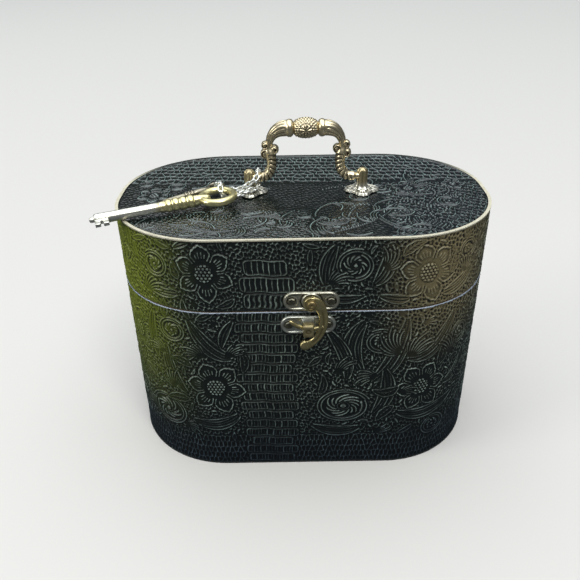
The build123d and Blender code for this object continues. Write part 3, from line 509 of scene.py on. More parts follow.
belly_middle = -23.5
sides = new_sheet((-half_girth, 0), (half_girth, side_top))
for home in (0, half_girth):

    def at(p, q):
        """A place on the front, or the same place on the back."""
        return (p + home - (2 * half_girth if p + home > half_girth else 0), q)

    belly = at(belly_middle, 0)[0]
    tool_belly(sides, belly, 1, 123.2, 16.2, 19.4, 7.7, 2, 0.5)
    tool_belly(sides, belly, 125.6, 159.5, 14.6, 15.6, 11.3, 3.2, 0.62)
    for p, q, reach, turn in [
        (-57.8, 66.5, 19, 0.35), (75.3, 63, 18, 0.6), (-58.8, 150.6, 17.5, 0.1), (72.6, 147.7, 18.5, 0.3),
        (-118, 96, 17, 0.8), (128, 118, 16, 0.2), (-128, 40, 16, 0.4), (126, 36, 16, 0.5),
        (-130, 150, 16, 0.7), (128, 152, 13, 0.1),
    ]:
        tool_flower(sides, at(p, q), reach, turn)
    for p, q, reach, laps, start, hand, squash in [
        (24.5, 50, 14, 1, 0.4, 1, 1.3), (47, 101, 9.5, 0.8, 2.2, -1, 1.15),
        (29, 154.5, 11, 0.9, 1.2, 1, 1.05), (-90.5, 153, 9, 0.8, 2.4, -1, 1),
        (-84, 108, 9, 0.9, 0.8, 1, 1.1), (-96, 40, 13, 0.8, 2.8, -1, 1.25), (104, 96, 9, 0.9, 1.7, 1, 1),
        (101, 157, 7.5, 0.8, 0.3, -1, 1.1), (88, 26, 8.5, 0.7, 1.9, -1, 1.2),
    ]:
        tool_scroll(sides, at(p, q), reach, laps, start, hand, squash)
    for start, middle, end, width, pitch in [
        ((36, 116), (20, 96), (38, 72), 6.5, 2.1), ((42, 70), (60, 84), (62, 118), 6, 2.1),
        ((44, 42), (58, 60), (50, 80), 5.5, 2), ((64, 88), (84, 84), (96, 116), 6, 2.2),
        ((26, 72), (30, 90), (12, 112), 4.5, 2), ((60, 44), (80, 34), (104, 48), 5, 2.1),
        ((36, 32), (20, 24), (4, 34), 4.5, 2), ((94, 60), (110, 62), (112, 82), 5, 2),
        ((-46, 90), (-60, 92), (-72, 118), 5.5, 2), ((-44, 44), (-56, 30), (-76, 38), 5, 2.1),
        ((-78, 60), (-92, 72), (-90, 96), 5, 2), ((-80, 84), (-74, 94), (-64, 96), 3.5, 1.9),
        ((-98, 118), (-104, 100), (-98, 82), 4, 1.9), ((-44, 118), (-52, 108), (-52, 98), 3.2, 1.8),
        ((40, 142), (50, 150), (48, 168), 5, 2), ((44, 134), (56, 130), (62, 132), 3.5, 1.9),
        ((12, 142), (10, 156), (18, 168), 4.5, 2), ((84, 132), (98, 132), (108, 144), 5, 2),
        ((-76, 136), (-88, 134), (-100, 138), 4.5, 2), ((-76, 166), (-70, 170), (-66, 170), 2.5, 1.8),
        ((34, 134), (22, 130), (14, 134), 3.2, 1.9),
    ]:
        tool_frond(sides, at(*start), at(*middle), at(*end), width, pitch)
    for root, middle, tip, width in [
        ((60, 66), (52, 56), (42, 64), 4), ((86, 76), (94, 86), (88, 96), 4.5),
        ((58, 50), (50, 44), (46, 36), 3.6), ((-40, 78), (-36, 90), (-42, 96), 3.2),
        ((-72, 82), (-80, 88), (-88, 86), 3.6), ((-76, 54), (-86, 56), (-96, 50), 4),
        ((56, 160), (60, 168), (70, 169), 3.4), ((88, 144), (92, 150), (90, 160), 3.4),
        ((-42, 134), (-46, 128), (-54, 128), 3), ((-74, 146), (-78, 150), (-78, 158), 3),
        ((104, 66), (114, 56), (118, 60), 4), ((8, 60), (14, 66), (10, 78), 3),
    ]:
        tool_leaf(sides, at(*root), at(*middle), at(*tip), width)
    for p, q, length, turn, spread, bend, strokes in [
        (62, 92, 24, 2.9, 1.5, -0.9, 8), (66, 86, 24, 1.5, 1.3, -0.7, 7), (46, 72, 17, 2.5, 1.6, 0.8, 7),
        (60, 58, 15, 0.9, 1.3, -0.8, 6), (20, 74, 20, 1.5, 1, -0.7, 6), (96, 80, 20, 1.3, 1.3, 0.7, 7),
        (-64, 88, 18, 1.9, 1.4, 0.8, 7), (-50, 88, 18, 1.2, 1, -0.6, 6), (-84, 62, 18, 2.6, 1.5, -0.8, 7),
        (-92, 86, 17, 1.9, 1.4, 0.9, 6), (-100, 130, 20, 1.3, 1.2, -0.7, 6),
        (44, 152, 17, 0.4, 1.6, 0.9, 7), (14, 140, 17, 1.2, 1.3, -0.7, 6), (98, 140, 17, 1, 1.4, 0.8, 6),
        (44, 30, 15, -0.6, 1.2, 0.8, 6), (-84, 30, 15, 0.4, 1.3, -0.7, 6),
        (-112, 30, 17, 1.4, 1.3, 0.7, 6), (110, 60, 18, 1.2, 1.3, -0.8, 6),
    ]:
        tool_fan(sides, at(p, q), length, turn, spread, bend, strokes)
    for low_p, room in ((-164, 120), (2, 160)):
        first = at(low_p, 0)[0]
        tool_fill(sides, (first, 28), (first + room, 123), 1300, room + 3)
        tool_fill(sides, (first, 127), (first + room, 170), 700, room + 7)
ends_low, ends_high = -half_girth - 3, half_girth + 3
tool_scales(sides, (ends_low, -2), (ends_high, 27), (2.9, 5.0), 0.14, 0, 2, 21)
tool_scales(sides, (ends_low, 20), (ends_high, side_top + 3), (2.6, 2.9), 0.34, 0.4, 2, 22)

lid_sheet = new_sheet((-half_width, -half_depth), (half_width, half_depth))
for p, q, reach, turn in [(-97, -2, 11, 0.0), (70, 4, 11, 0.2), (24, -50, 9, 0.1), (101, 10, 8, 0.4)]:
    tool_flower(lid_sheet, (p, q), reach, turn)
for p, q, reach, laps, start, hand in [
    (-84, 12, 6, 0.9, 0.3, 1), (-106, 18, 5, 0.9, 2, -1), (56, -34, 8, 0.9, 2, -1),
    (-20, -42, 8, 0.8, 1, 1), (92, -20, 8, 0.9, 0, 1), (-64, -38, 7, 0.9, 0.7, 1),
    (36, -10, 7, 0.9, 2.4, -1),
]:
    tool_scroll(lid_sheet, (p, q), reach, laps, start, hand)
for start, middle, end, cords, dots in [
    ((14, -60), (-2, -44), (10, -28), 3, False), ((10, -28), (18, -16), (32, -24), 2, False),
    ((36, -22), (24, -36), (26, -60), 1, True), ((56, -26), (46, -52), (12, -66), 3, False),
    ((70, -62), (50, -60), (44, -40), 2, False), ((44, -40), (38, -22), (56, -16), 2, False),
    ((84, -52), (68, -34), (86, -12), 1, True), ((-8, -62), (-24, -46), (-6, -32), 2, False),
    ((-76, -50), (-54, -68), (-30, -54), 2, False), ((-30, -54), (-16, -46), (-32, -32), 2, False),
    ((-88, -40), (-66, -28), (-46, -40), 1, True), ((60, -6), (82, -14), (96, 0), 2, False),
    ((-60, 8), (-40, 18), (-22, 4), 2, False), ((12, 2), (28, 14), (50, 4), 1, True),
]:
    for step in range(cords):
        move = np.array([1.3, 1.6]) * step
        tool_stem(lid_sheet, start + move, middle + 0.6 * move, end + move, 0.55, dots)
dice = np.random.default_rng(5)
for index in range(80):
    start = np.array([dice.uniform(-104, 98), dice.uniform(-64, 14)])
    if abs(start[0] + 18) < 24 and start[1] > -28:
        continue
    ahead, aside = bearings(dice.uniform(0, 2 * math.pi))
    reach = dice.uniform(7, 26)
    bow = aside * reach * dice.uniform(0.3, 0.7) * (-1) ** index
    for step in range(1 + index % 3):
        move = aside * 1.9 * step
        middle = start + reach * 0.5 * ahead + bow + move
        end = start + reach * ahead + 0.4 * move
        tool_stem(lid_sheet, start + move, middle, end, 0.5, index % 4 == 1)
for low, high, cell, jitter, slant, soft, seed, rise in [
    ((-128, 12), (128, 80), (4.4, 6.6), 0.22, 0.06, 8, 33, 0.9),
    ((44, -80), (128, 24), (3.0, 5.2), 0.24, 0.6, 10, 35, 0.8),
    ((-116, -80), (10, -22), (3.2, 3.0), 0.34, 0.4, 10, 34, 0.66),
    ((-120, -75), (120, 75), (3.4, 3.0), 0.34, 0.4, 2, 36, 0.46),
]:
    tool_scales(lid_sheet, low, high, cell, jitter, slant, soft, seed, rise)


def level_out(field, reach):
    """A field smoothed over a square of a given half-width, twice."""
    for _ in range(2):
        for axis in (0, 1):
            pad = [(0, 0), (0, 0)]
            pad[axis] = (reach + 1, reach)
            total = np.cumsum(np.pad(field, pad, mode="edge"), axis=axis)
            size = field.shape[axis]
            far = np.take(total, np.arange(2 * reach + 1, 2 * reach + 1 + size), axis=axis)
            field = (far - np.take(total, np.arange(size), axis=axis)) / (2 * reach + 1)
    return field


# Convexity: how far the relief stands above or sinks below its surroundings. The leatherette paints it
# lighter on ridges, partly wear and partly painted highlight, and darker in furrows as painted shade.
for sheet in (sides, lid_sheet):
    sheet["convexity"] = sheet["relief"] - level_out(sheet["relief"], 3)


def sample(sheet, layer, p, q):
    """Values of one layer of a sheet at places between its net points."""
    field = sheet[layer]
    a = np.clip((p - sheet["low"][0]) / emboss_step, 0, field.shape[1] - 1.001)
    b = np.clip((q - sheet["low"][1]) / emboss_step, 0, field.shape[0] - 1.001)
    i, j = a.astype(int), b.astype(int)
    u, v = a - i, b - j
    low = field[j, i] * (1 - u) + field[j, i + 1] * u
    high = field[j + 1, i] * (1 - u) + field[j + 1, i + 1] * u
    return low * (1 - v) + high * v


def coordinate(tree, axis):
    """How far along an axis a place on the object lies."""
    place = add_node(tree, "TexCoord").outputs["Object"]
    return add_node(tree, "SeparateXYZ", {"Vector": place}).outputs[axis]


def stretch(tree, value, low, high, low_out=0.0, high_out=1.0, curve="LINEAR"):
    """A value taken from one range to another and held at its ends."""
    sockets = {"Value": value, "From Min": low, "From Max": high, "To Min": low_out, "To Max": high_out}
    return add_node(tree, "MapRange", sockets, interpolation_type=curve).outputs["Result"]


def calculate(tree, operation, first, second):
    """One value from two."""
    return add_node(tree, "Math", {0: first, 1: second}, operation=operation).outputs["Value"]


def pearl_leatherette():
    """Leatherette: dark ground; ridges painted light, partly wear and partly painted highlight; furrows
    painted dark as shade; olive and bronze ends, partly pearl coat and partly painted sheen; a top painted
    bluer to the right as a reflection; darker and bluer towards the bottom.
    """
    material, tree, shader = new_material("pearl_leatherette")

    def ramp(value, low, high, low_out=0.0, high_out=1.0):
        """A softly eased stretch."""
        return stretch(tree, value, low, high, low_out, high_out, "SMOOTHSTEP")

    def times(first, second):
        """Two values multiplied."""
        return calculate(tree, "MULTIPLY", first, second)

    def value_of(name):
        """A value kept on the mesh's points."""
        return add_node(tree, "Attribute", attribute_name=name).outputs["Fac"]

    x, z = coordinate(tree, "X"), coordinate(tree, "Z")
    convexity, crown = value_of("convexity"), value_of("crown")
    # Olive at the left end and bronze at the right, higher up: partly the pearl coat's own tone, partly a
    # painted sheen.
    olive_coat_and_sheen = times(ramp(x, -0.060, -0.108), ramp(z, 0.015, 0.135))
    olive_coat_and_sheen = times(olive_coat_and_sheen, ramp(noise(tree, 16, 3), 0.2, 0.55))
    bronze_coat_and_sheen = times(times(ramp(x, 0.038, 0.080), ramp(x, 0.130, 0.088)), ramp(z, 0.075, 0.145))
    above_foot = ramp(z, 0.0, 0.075)
    # The top's ground turns from green-black to blue-black towards the right: a painted reflection of the
    # sky.
    crown_ground_and_reflection = blend(tree, ramp(x, -0.02, 0.09), shade(6, 15, 11), shade(9, 15, 20))
    coats = {}
    for part, foot, upper, olive_coat_and_sheen_tone, bronze_coat_and_sheen_tone, crown_tone in (
        ("ground", (3, 9, 15), (13, 22, 19), (112, 124, 24), (126, 116, 84), crown_ground_and_reflection),
        ("ridge_wear_and_highlight", (80, 100, 114), (164, 182, 170), (168, 174, 88), (180, 172, 142), shade(134, 156, 152)),
        ("deep", (2, 4, 7), (5, 8, 7), (50, 56, 14), (34, 30, 22), shade(2, 4, 4)),
    ):
        tone = blend(tree, above_foot, shade(*foot), shade(*upper))
        tone = blend(tree, olive_coat_and_sheen, tone, shade(*olive_coat_and_sheen_tone))
        tone = blend(tree, bronze_coat_and_sheen, tone, shade(*bronze_coat_and_sheen_tone))
        coats[part] = blend(tree, crown, tone, crown_tone)
    # Patches where the ridges are painted brighter or dimmer: partly wear, partly painted glints.
    wear_and_glint_patches = times(ramp(noise(tree, 900, 4), 0.25, 0.6, 0.5), ramp(noise(tree, 110, 2), 0.38, 0.62, 0.5))
    high = times(ramp(convexity, 0.14, 0.46), wear_and_glint_patches)
    # Painted shade in the furrows, then painted highlight with wear on the ridges.
    colour = blend(tree, ramp(convexity, -0.05, -0.30), coats["ground"], coats["deep"])
    colour = blend(tree, high, colour, coats["ridge_wear_and_highlight"])
    # The cover's cut edge at the seam: pale, and painted bluish-grey partly as a highlight.
    colour = blend(tree, value_of("cut_edge_and_highlight"), colour, shade(156, 168, 184))
    place = add_node(tree, "TexCoord").outputs["Object"]
    grain = add_node(tree, "TexVoronoi", {"Vector": place, "Scale": 1500}).outputs["Distance"]
    look = {"Base Color": colour, "Roughness": ramp(high, 0, 1, ramp(crown, 0, 1, 0.40, 0.22), 0.28)}
    look.update({"Specular IOR Level": 0.75, "Normal": bump(tree, grain, 0.25, 0.00015)})
    set_sockets(tree, shader, look)
    return material


leatherette = pearl_leatherette()


def set_piece(mesh, name, body, nodes, material):
    """Puts a finished mesh in the scene as a piece of one body, in place of its CAD nodes."""
    mesh.materials.append(material)
    mesh.shade_smooth()
    piece = put(name, mesh)
    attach(piece, body)
    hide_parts(*nodes)


def read_mesh(parts, key, width, kind=float):
    """One value of every point or edge of a mesh, as the rows of an array."""
    values = np.zeros(len(parts) * width, kind)
    parts.foreach_get(key, values)
    return values.reshape(-1, width)


def net(name, columns, rows):
    """A flat net of faces, with each point's column and row."""
    bm = bmesh.new()
    bmesh.ops.create_grid(bm, x_segments=columns, y_segments=rows, size=1)
    mesh = bpy.data.meshes.new(name)
    bm.to_mesh(mesh)
    bm.free()
    places = (read_mesh(mesh.vertices, "co", 3) + 1) / 2
    return mesh, np.rint(places[:, 0] * columns), np.rint(places[:, 1] * rows)


def write_net(mesh, places, convexity, rim, crown):
    """Gives a net its shape, in mm, and keeps as values on it its convexity (painted as lit ridges and shaded
    furrows), its cut edge (pale, partly painted highlight) and its crown.
    """
    mesh.vertices.foreach_set("co", (np.stack(places, 1) * MM).ravel())
    for key, values in (("convexity", convexity), ("cut_edge_and_highlight", rim), ("crown", np.full(len(rim), crown))):
        mesh.attributes.new(key, "FLOAT", "POINT").data.foreach_set("value", values)
    bm = bmesh.new()
    bm.from_mesh(mesh)
    bmesh.ops.remove_doubles(bm, verts=bm.verts, dist=1e-6)
    bmesh.ops.recalc_face_normals(bm, faces=bm.faces)
    bm.to_mesh(mesh)
    bm.free()


def wrap(name, start, end, low, high, pitch, body, node):
    """One stretch of side covering: embossed outside, turned over the rims, plain against the board."""
    columns = int(round((end - start) / pitch))
    up = int(round((high - low) / pitch))
    mesh, column, row = net(name, columns, up + 3)
    along = start + (end - start) * column / columns
    level = low + (high - low) * np.clip(row, 0, up) / up
    level = np.where(row >= up + 2, low, level)
    outer = (row <= up) | (row == up + 3)
    rim_gap = np.minimum(level - low, high - level)
    relief = sample(sides, "relief", along, level)
    convexity = sample(sides, "convexity", along, level) * ease(rim_gap)
    roll = 0.45 * (1 - np.sqrt(np.clip(1 - (1 - np.clip(rim_gap / 0.7, 0, 1)) ** 2, 0, 1)))
    inset = np.where(outer, (1 - relief) * emboss_depth * ease(rim_gap / 0.9) + roll, cover_thickness)
    x, y, out_x, out_y = plan(along)
    # The top rows of the body cover, its cut edge, take a pale bluish-grey that is partly painted highlight.
    pale_edge_and_highlight = np.where((node == "body_cover") & (row >= up - 1) & (row <= up + 1), 1.0, 0.0)
    places = (x - inset * out_x, y - inset * out_y, level)
    write_net(mesh, places, np.where(outer, convexity, 0), pale_edge_and_highlight, 0)
    set_piece(mesh, name, body, [node], leatherette)


for node, body, low, high in (
    ("body_cover", "case_body", cover_thickness, seam_low),
    ("lid_side_cover", "lid", seam_high, side_top),
):
    for place, start, end, pitch in (
        ("left", -half_girth / 2, -half_girth / 6, front_pitch),
        ("front", -half_girth / 6, half_girth / 6, front_pitch),
        ("right", half_girth / 6, half_girth / 2, front_pitch),
        ("back_right", half_girth / 2, half_girth, back_pitch),
        ("back_left", -half_girth, -half_girth / 2, back_pitch),
    ):
        wrap(f"{node}_{place}", start, end, low, high, pitch, body, node)


def lay_top(name, start, end):
    """Half of the lid's top covering, from one share of its width to another."""
    half_deep = half_depth - top_inset
    columns = int(round((end - start) * (half_width - top_inset) / top_pitch))
    rows = int(round(2 * half_deep / top_pitch))
    mesh, column, row = net(name, columns, rows)
    y = -half_deep + 2 * half_deep * row / rows
    beyond = np.clip(np.abs(y) - end_half, 0, end_radius - top_inset)
    width = front_half + np.sqrt((end_radius - top_inset) ** 2 - beyond**2)
    x = width * (start + (end - start) * column / columns)
    rim_gap = np.minimum(width - np.abs(x), half_deep - np.abs(y))
    relief = sample(lid_sheet, "relief", x, y) * ease(rim_gap)
    convexity = sample(lid_sheet, "convexity", x, y) * ease(rim_gap)
    z = lid_crown - (1 - relief) * emboss_depth * 0.9 * ease(rim_gap / 0.8) - 0.1
    write_net(mesh, (x, y, z), convexity, np.zeros(len(x)), 1.0)
    set_piece(mesh, name, "lid", ["lid_top_cover"], leatherette)


lay_top("lid_top_cover_left", -1, 0)
lay_top("lid_top_cover_right", 0, 1)


# Pale edge of the lid
# The covering of the top lies inside a narrow strip of cream board edge, cut by hand and a little
# uneven. It is pale at the front and ends, and turns dark towards the back.
def turn_colour(material, axis, start, end, tint, way="MULTIPLY"):
    """Turns a material's colour from one place to another along an axis, in mm."""
    tree = material.node_tree
    shader = tree.nodes["Principled BSDF"]
    before = shader.inputs["Base Color"].links[0].from_socket
    share = stretch(tree, coordinate(tree, axis), start * MM, end * MM)
    set_sockets(tree, shader, {"Base Color": blend(tree, share, before, tint, way)})


cream_edge = speckled("cream_edge", shade(226, 222, 204), shade(158, 152, 126), 520, 0.6, 0.0005, 0.6)
turn_colour(cream_edge, "Y", 20, 52, shade(40, 48, 44), "MIX")
dress(["lid_edge_trim"], cream_edge)


# Hinges, screws, washers and nuts
# Small plated fittings from stock: rolled butt hinges at the back, cross-head screws, and washers
# with nuts under the lid. The plating is dull silver, rubbed through on its edges.
antique_plating, given, result = new_group(
    "antique_plating",
    {"Bright": "Color", "Dark": "Color", "Hollow": "Float", "Tarnish": "Float", "Polish": "Float"},
    {**colour_and_height, "Roughness": "Float"},
)
patches = stretch(antique_plating, noise(antique_plating, 300, 6), 0.45, 0.75)
stain = calculate(antique_plating, "MULTIPLY", patches, given["Tarnish"])
dull = calculate(antique_plating, "MAXIMUM", stain, given["Hollow"])
plating = {
    "Color": blend(antique_plating, dull, given["Bright"], given["Dark"]),
    "Roughness": stretch(antique_plating, dull, 0, 1, given["Polish"], 0.62),
    "Height": noise(antique_plating, 1800, 3),
}
set_sockets(antique_plating, result, plating)


def plated(name, bright, dark, tarnish, polish=0.34):
    """An antique metal finish that goes dark where the piece's hollow value is high."""
    material, tree, shader = new_material(name)
    hollow = add_node(tree, "Attribute", attribute_name="hollow").outputs["Fac"]
    values = {"Bright": bright, "Dark": dark, "Hollow": hollow, "Tarnish": tarnish, "Polish": polish}
    finish = add_node(tree, "Group", values, node_tree=antique_plating).outputs
    look = {"Base Color": finish["Color"], "Roughness": finish["Roughness"], "Metallic": 0.9}
    set_sockets(tree, shader, {**look, "Normal": bump(tree, finish["Height"], 0.15, 0.0001)})
    return material


antique_silver = plated("antique_silver", shade(206, 204, 186), shade(60, 56, 44), 0.5)
plated_steel = plated("plated_steel", shade(132, 128, 112), shade(40, 36, 28), 0.8)
hinge_parts = ("lower_leaf", "upper_leaf", "pin")
dress([f"hinge_{part}_{side}" for part in hinge_parts for side in ("left", "right")], antique_silver)
dress(["hinge_lower_screws", "hinge_upper_screws", "handle_washers", "handle_nuts"], plated_steel)
dress(["latch_plate_screws", "keeper_plate_screws"], plated_steel)


# Latch plate and keeper plate
# Two cast pill plates with a raised rim and dished screw seats. The upper one has a ringed boss for
# the hook, the lower one a lug on a flared neck with an eye through it.
def mark_hollows(mesh, depth):
    """Marks how far each point lies below its surroundings, where rubbing doesn't reach."""
    count = len(mesh.vertices)
    places, normals = (read_mesh(mesh.vertices, key, 3) for key in ("co", "normal"))
    first, second = read_mesh(mesh.edges, "vertices", 2, int).T
    share = np.bincount(first, minlength=count) + np.bincount(second, minlength=count)
    even = places.copy()
    for _ in range(4):
        total = np.zeros((count, 3))
        for axis in range(3):
            total[:, axis] = np.bincount(first, even[second, axis], count)
            total[:, axis] += np.bincount(second, even[first, axis], count)
        even = total / np.maximum(share, 1)[:, None]
    hollow = np.clip(((even - places) * normals).sum(1) / (depth * MM), 0, 1)
    mesh.attributes.new("hollow", "FLOAT", "POINT").data.foreach_set("value", hollow)


def cast(skins, name, body, node, material, depth=0.12, blocks=()):
    """A metal piece from skins and bevelled blocks, closed, its hollows marked, put in the scene.

    A skin is a net's columns and rows, a shape, and the shape's measures: the shape turns angles round
    and shares along into places in mm. A block is the matrix of its unit cube.
    """
    solid = bmesh.new()
    for columns, rows, shape, *measures in skins:
        made = bmesh.ops.create_grid(solid, x_segments=columns, y_segments=rows, size=1)["verts"]
        flat = np.array([tuple(vert.co) for vert in made])
        places = shape(math.pi * (flat[:, 0] + 1), (flat[:, 1] + 1) / 2, *measures)
        for vert, place in zip(made, np.stack(places, 1) * MM):
            vert.co = place
        bmesh.ops.remove_doubles(solid, verts=made, dist=2e-6)
    for matrix in blocks:
        made = bmesh.ops.create_cube(solid, size=1, matrix=matrix)["verts"]
        edges = list({edge for vert in made for edge in vert.link_edges})
        bevel = {"offset": block_bevel * MM, "segments": 2, "profile": 0.5, "affect": "EDGES", "material": -1}
        bmesh.ops.bevel(solid, geom=edges, **bevel)
    bmesh.ops.holes_fill(solid, edges=[edge for edge in solid.edges if edge.is_boundary], sides=0)
    bmesh.ops.recalc_face_normals(solid, faces=solid.faces)
    mesh = bpy.data.meshes.new(name)
    solid.to_mesh(mesh)
    solid.free()
    mark_hollows(mesh, depth)
    set_piece(mesh, name, body, [node], material)


def square_off(values, power):
    """Flattens a round section towards a block."""
    return np.sign(values) * np.abs(values) ** power


block_bevel = 0.3
front_face = -half_depth
latch_place = (3.5, 132.1)
keeper_place = (1.6, 115.5)
pill_half_flat = 10.5
pill_half_width = 6.3
latch_screw_reach = 11.7


def pill_plate(turn, v, centre, boss):
    """A pill plate from its middle over the rim to the back, with a ringed boss or none."""
    c, s = np.cos(turn), np.sin(turn)
    reach = pill_half_width / np.maximum(np.abs(s), 1e-9)
    round_end = np.sqrt(np.maximum(pill_half_width**2 - (pill_half_flat * s) ** 2, 0))
    round_end = pill_half_flat * np.abs(c) + round_end
    reach = np.where(reach * np.abs(c) <= pill_half_flat, reach, round_end)
    reach = reach * np.where(v < 0.86, v / 0.86, np.clip((1 - v) / 0.1, 0, 1))
    p, q = reach * c, reach * s
    gap = pill_half_width - np.hypot(np.maximum(np.abs(p) - pill_half_flat, 0), q)
    rim = np.sin(math.pi * np.clip(gap / 1.9, 0, 1)) ** 0.7
    height = 1.0 + 0.75 * rim - 0.5 * line(gap, 0.25)
    seat = np.hypot(np.abs(p) - latch_screw_reach, q)
    height += 0.4 * line(seat - 3.4, 0.45) - 0.15 * ease((3.0 - seat) / 0.5)
    if boss:
        middle = np.hypot(p, q)
        rings = 0.18 * np.cos(2 * math.pi * middle / 1.3)
        height = np.maximum(height, 2.25 * ease((6.4 - middle) / 0.8) + rings)
    return centre[0] + p, front_face - np.where(v > 0.88, 0, height), centre[1] + q


latch_skins = [(160, 44, pill_plate, latch_place, True)]
cast(latch_skins, "latch_plate_cast", "lid", "latch_plate", antique_silver)

# Each row: share of the way round the lug's loop, depth and height of its outside and then of its
# eye, and its half width
lug_stations = [
    (0, 0.2, 0, 2.4, -0.3, 4.2), (0.10, 1.6, 5.2, 2.4, 1.7, 4.2), (0.20, 3.2, 4.7, 3.2, 1.9, 3.3),
    (0.27, 5.2, 4.5, 4.3, 1.9, 3.2), (0.33, 8.6, 4.2, 5.6, 1.8, 3.2), (0.42, 9.2, 3.2, 5.8, 1.2, 3.25),
    (0.50, 9.2, 0, 5.8, -0.3, 3.25), (0.58, 9.2, -3.2, 5.8, -2.0, 3.25), (0.67, 8.6, -4.2, 5.6, -2.8, 3.2),
    (0.73, 5.2, -4.5, 4.3, -2.85, 3.1), (0.80, 3.0, -4.6, 3.2, -2.8, 3.1),
    (0.90, 1.4, -4.8, 2.4, -2.6, 3.6), (1, 0.2, 0, 2.4, -0.3, 4.2),
]


def keeper_lug(turn, v):
    """A closed loop from neck to end block and back under, with the eye inside it."""
    around, *runs = np.array(lug_stations).T
    runs = [np.interp(turn / (2 * math.pi), around, run) for run in runs]
    depth_out, height_out, depth_in, height_in, wide = runs
    share = 0.5 + 0.5 * square_off(np.cos(2 * math.pi * v), 0.45)
    depth = depth_in + (depth_out - depth_in) * share
    height = height_in + (height_out - height_in) * share
    across = wide * square_off(np.sin(2 * math.pi * v), 0.45)
    ring = np.hypot(across, height)
    depth -= np.where(depth > 8.9, 0.45 * line(ring - 1.0, 0.9) - 0.1 * line(ring - 2.3, 0.5), 0)
    return keeper_place[0] + across, front_face - depth, keeper_place[1] + height


keeper_skins = [(160, 44, pill_plate, keeper_place, False), (96, 40, keeper_lug)]
worn_silver = plated("worn_silver", shade(212, 214, 204), shade(58, 54, 44), 0.45)
turn_colour(worn_silver, "Y", -76.6, -78.2, shade(250, 230, 184))
cast(keeper_skins, "keeper_plate_cast", "case_body", "keeper_plate", worn_silver, 0.3)


# Swing hook and its rivet
# A brass casting: round hub with rings, a crescent arm that ends in a ball, and the prong, an arc about
# the rivet, that threads the keeper's eye. The rivet is peened over a shallow ring.
hub_radius = 4.9
rivet_radius = 2.9
hook_middle = front_face - 4.1
prong_radius = 17.5
prong_half = 1.35
prong_root, prong_tip = -66, -139
prong_point = 0.86
# Each row: place beside and above the rivet, and half width of the arm there
arm_stations = np.array([
    (0, 1, 4.2), (3.2, 0, 3.9), (5.3, -2.8, 3.4), (6.6, -6.4, 2.9), (7.3, -10.6, 2.75), (7, -14.6, 2.8),
    (6.1, -18.4, 2.75), (4.7, -22, 2.45), (2.8, -25, 2.2), (0.3, -27.5, 2.4), (-1.8, -28.8, 3),
    (-3.6, -29.2, 3.6), (-5.2, -29.3, 3.3), (-6.7, -29.3, 2), (-7.1, -29.3, 0),
])


def smooth_run(stations, share):
    """Values on a smooth run through stations, at shares of its length."""
    steps = 400
    half_window = int(steps / len(stations) * 0.8)
    kernel = np.hanning(2 * half_window + 1)
    fine = np.linspace(0, 1, steps)
    columns = []
    for values in stations.T:
        straight = np.interp(fine, np.linspace(0, 1, len(stations)), values)
        padded = np.pad(straight, half_window, mode="reflect", reflect_type="odd")
        columns.append(np.interp(share, fine, np.convolve(padded, kernel / kernel.sum(), mode="valid")))
    return columns


def arm(turn, v):
    """The crescent arm, its section a rounded bar."""
    x, z, half = smooth_run(arm_stations, v)
    ahead_x, ahead_z, _ = smooth_run(arm_stations, np.clip(v + 0.01, 0, 1))
    behind_x, behind_z, _ = smooth_run(arm_stations, np.clip(v - 0.01, 0, 1))
    run_x, run_z = ahead_x - behind_x, ahead_z - behind_z
    run = np.hypot(run_x, run_z)
    c, s = np.cos(turn), np.sin(turn)
    wide = half * square_off(c, 0.95)
    groove = 1 - 0.5 * line(c, 0.46) * ease((v - 0.12) / 0.1) * ease((0.72 - v) / 0.12)
    deep = (1.5 + 0.7 * ease((v - 0.72) / 0.1)) * square_off(s, 0.8)
    deep = deep * np.clip(half / 1.2, 0, 1) ** 0.5 * groove
    x, z = x - run_z / run * wide, z + run_x / run * wide
    return latch_place[0] + x, hook_middle - deep, latch_place[1] + z


def prong(turn, v):
    """The prong: a round bar on an arc about the rivet, pointed at its tip."""
    bearing = np.radians(prong_root + (prong_tip - prong_root) * v)
    past = (v - prong_point) / (1 - prong_point)
    half = prong_half * np.sqrt(np.clip(1 - past**2 * (past > 0), 0, 1))
    reach = prong_radius + half * np.cos(turn)
    x, z = reach * np.cos(bearing), reach * np.sin(bearing)
    return latch_place[0] + x, hook_middle - half * 0.93 * np.sin(turn), latch_place[1] + z


def disc(turn, v, back, front, radius, relief):
    """A round disc about the rivet: relief gives its height at a radius."""
    reach = radius * np.where(v < 0.8, v / 0.8, np.clip((1 - v) / 0.15, 0, 1))
    height = np.where(v <= 0.8, front + relief(reach), back)
    x, z = reach * np.cos(turn), reach * np.sin(turn)
    return latch_place[0] + x, front_face - height, latch_place[1] + z


def hub_relief(reach):
    """A ring cut into the hub inside its rounded edge."""
    return 0.1 - 0.55 * ease((reach - 4.4) / 0.5) - 0.4 * line(reach - 3.3, 0.5)


def rivet_relief(reach):
    """A low domed head with a dimple in its middle."""
    return -0.5 * ease((reach - 1.6) / 1.4) - 0.55 * line(reach, 0.7) - 0.8 * ease((reach - 2.5) / 0.4)


hook_skins = [(64, 36, disc, 2.6, 5.5, hub_radius, hub_relief), (32, 120, arm), (24, 60, prong)]
worn_brass = plated("worn_brass", shade(206, 192, 142), shade(76, 64, 34), 0.45, 0.22)
cast(hook_skins, "latch_hook_cast", "latch_hook", "latch_hook", worn_brass, 0.2)
rivet_skins = [(48, 30, disc, 5.5, 7.05, rivet_radius, rivet_relief)]
rivet_brass = plated("rivet_brass", shade(186, 166, 118), shade(78, 62, 34), 0.4)
cast(rivet_skins, "latch_rivet_head", "lid", "latch_rivet", rivet_brass)


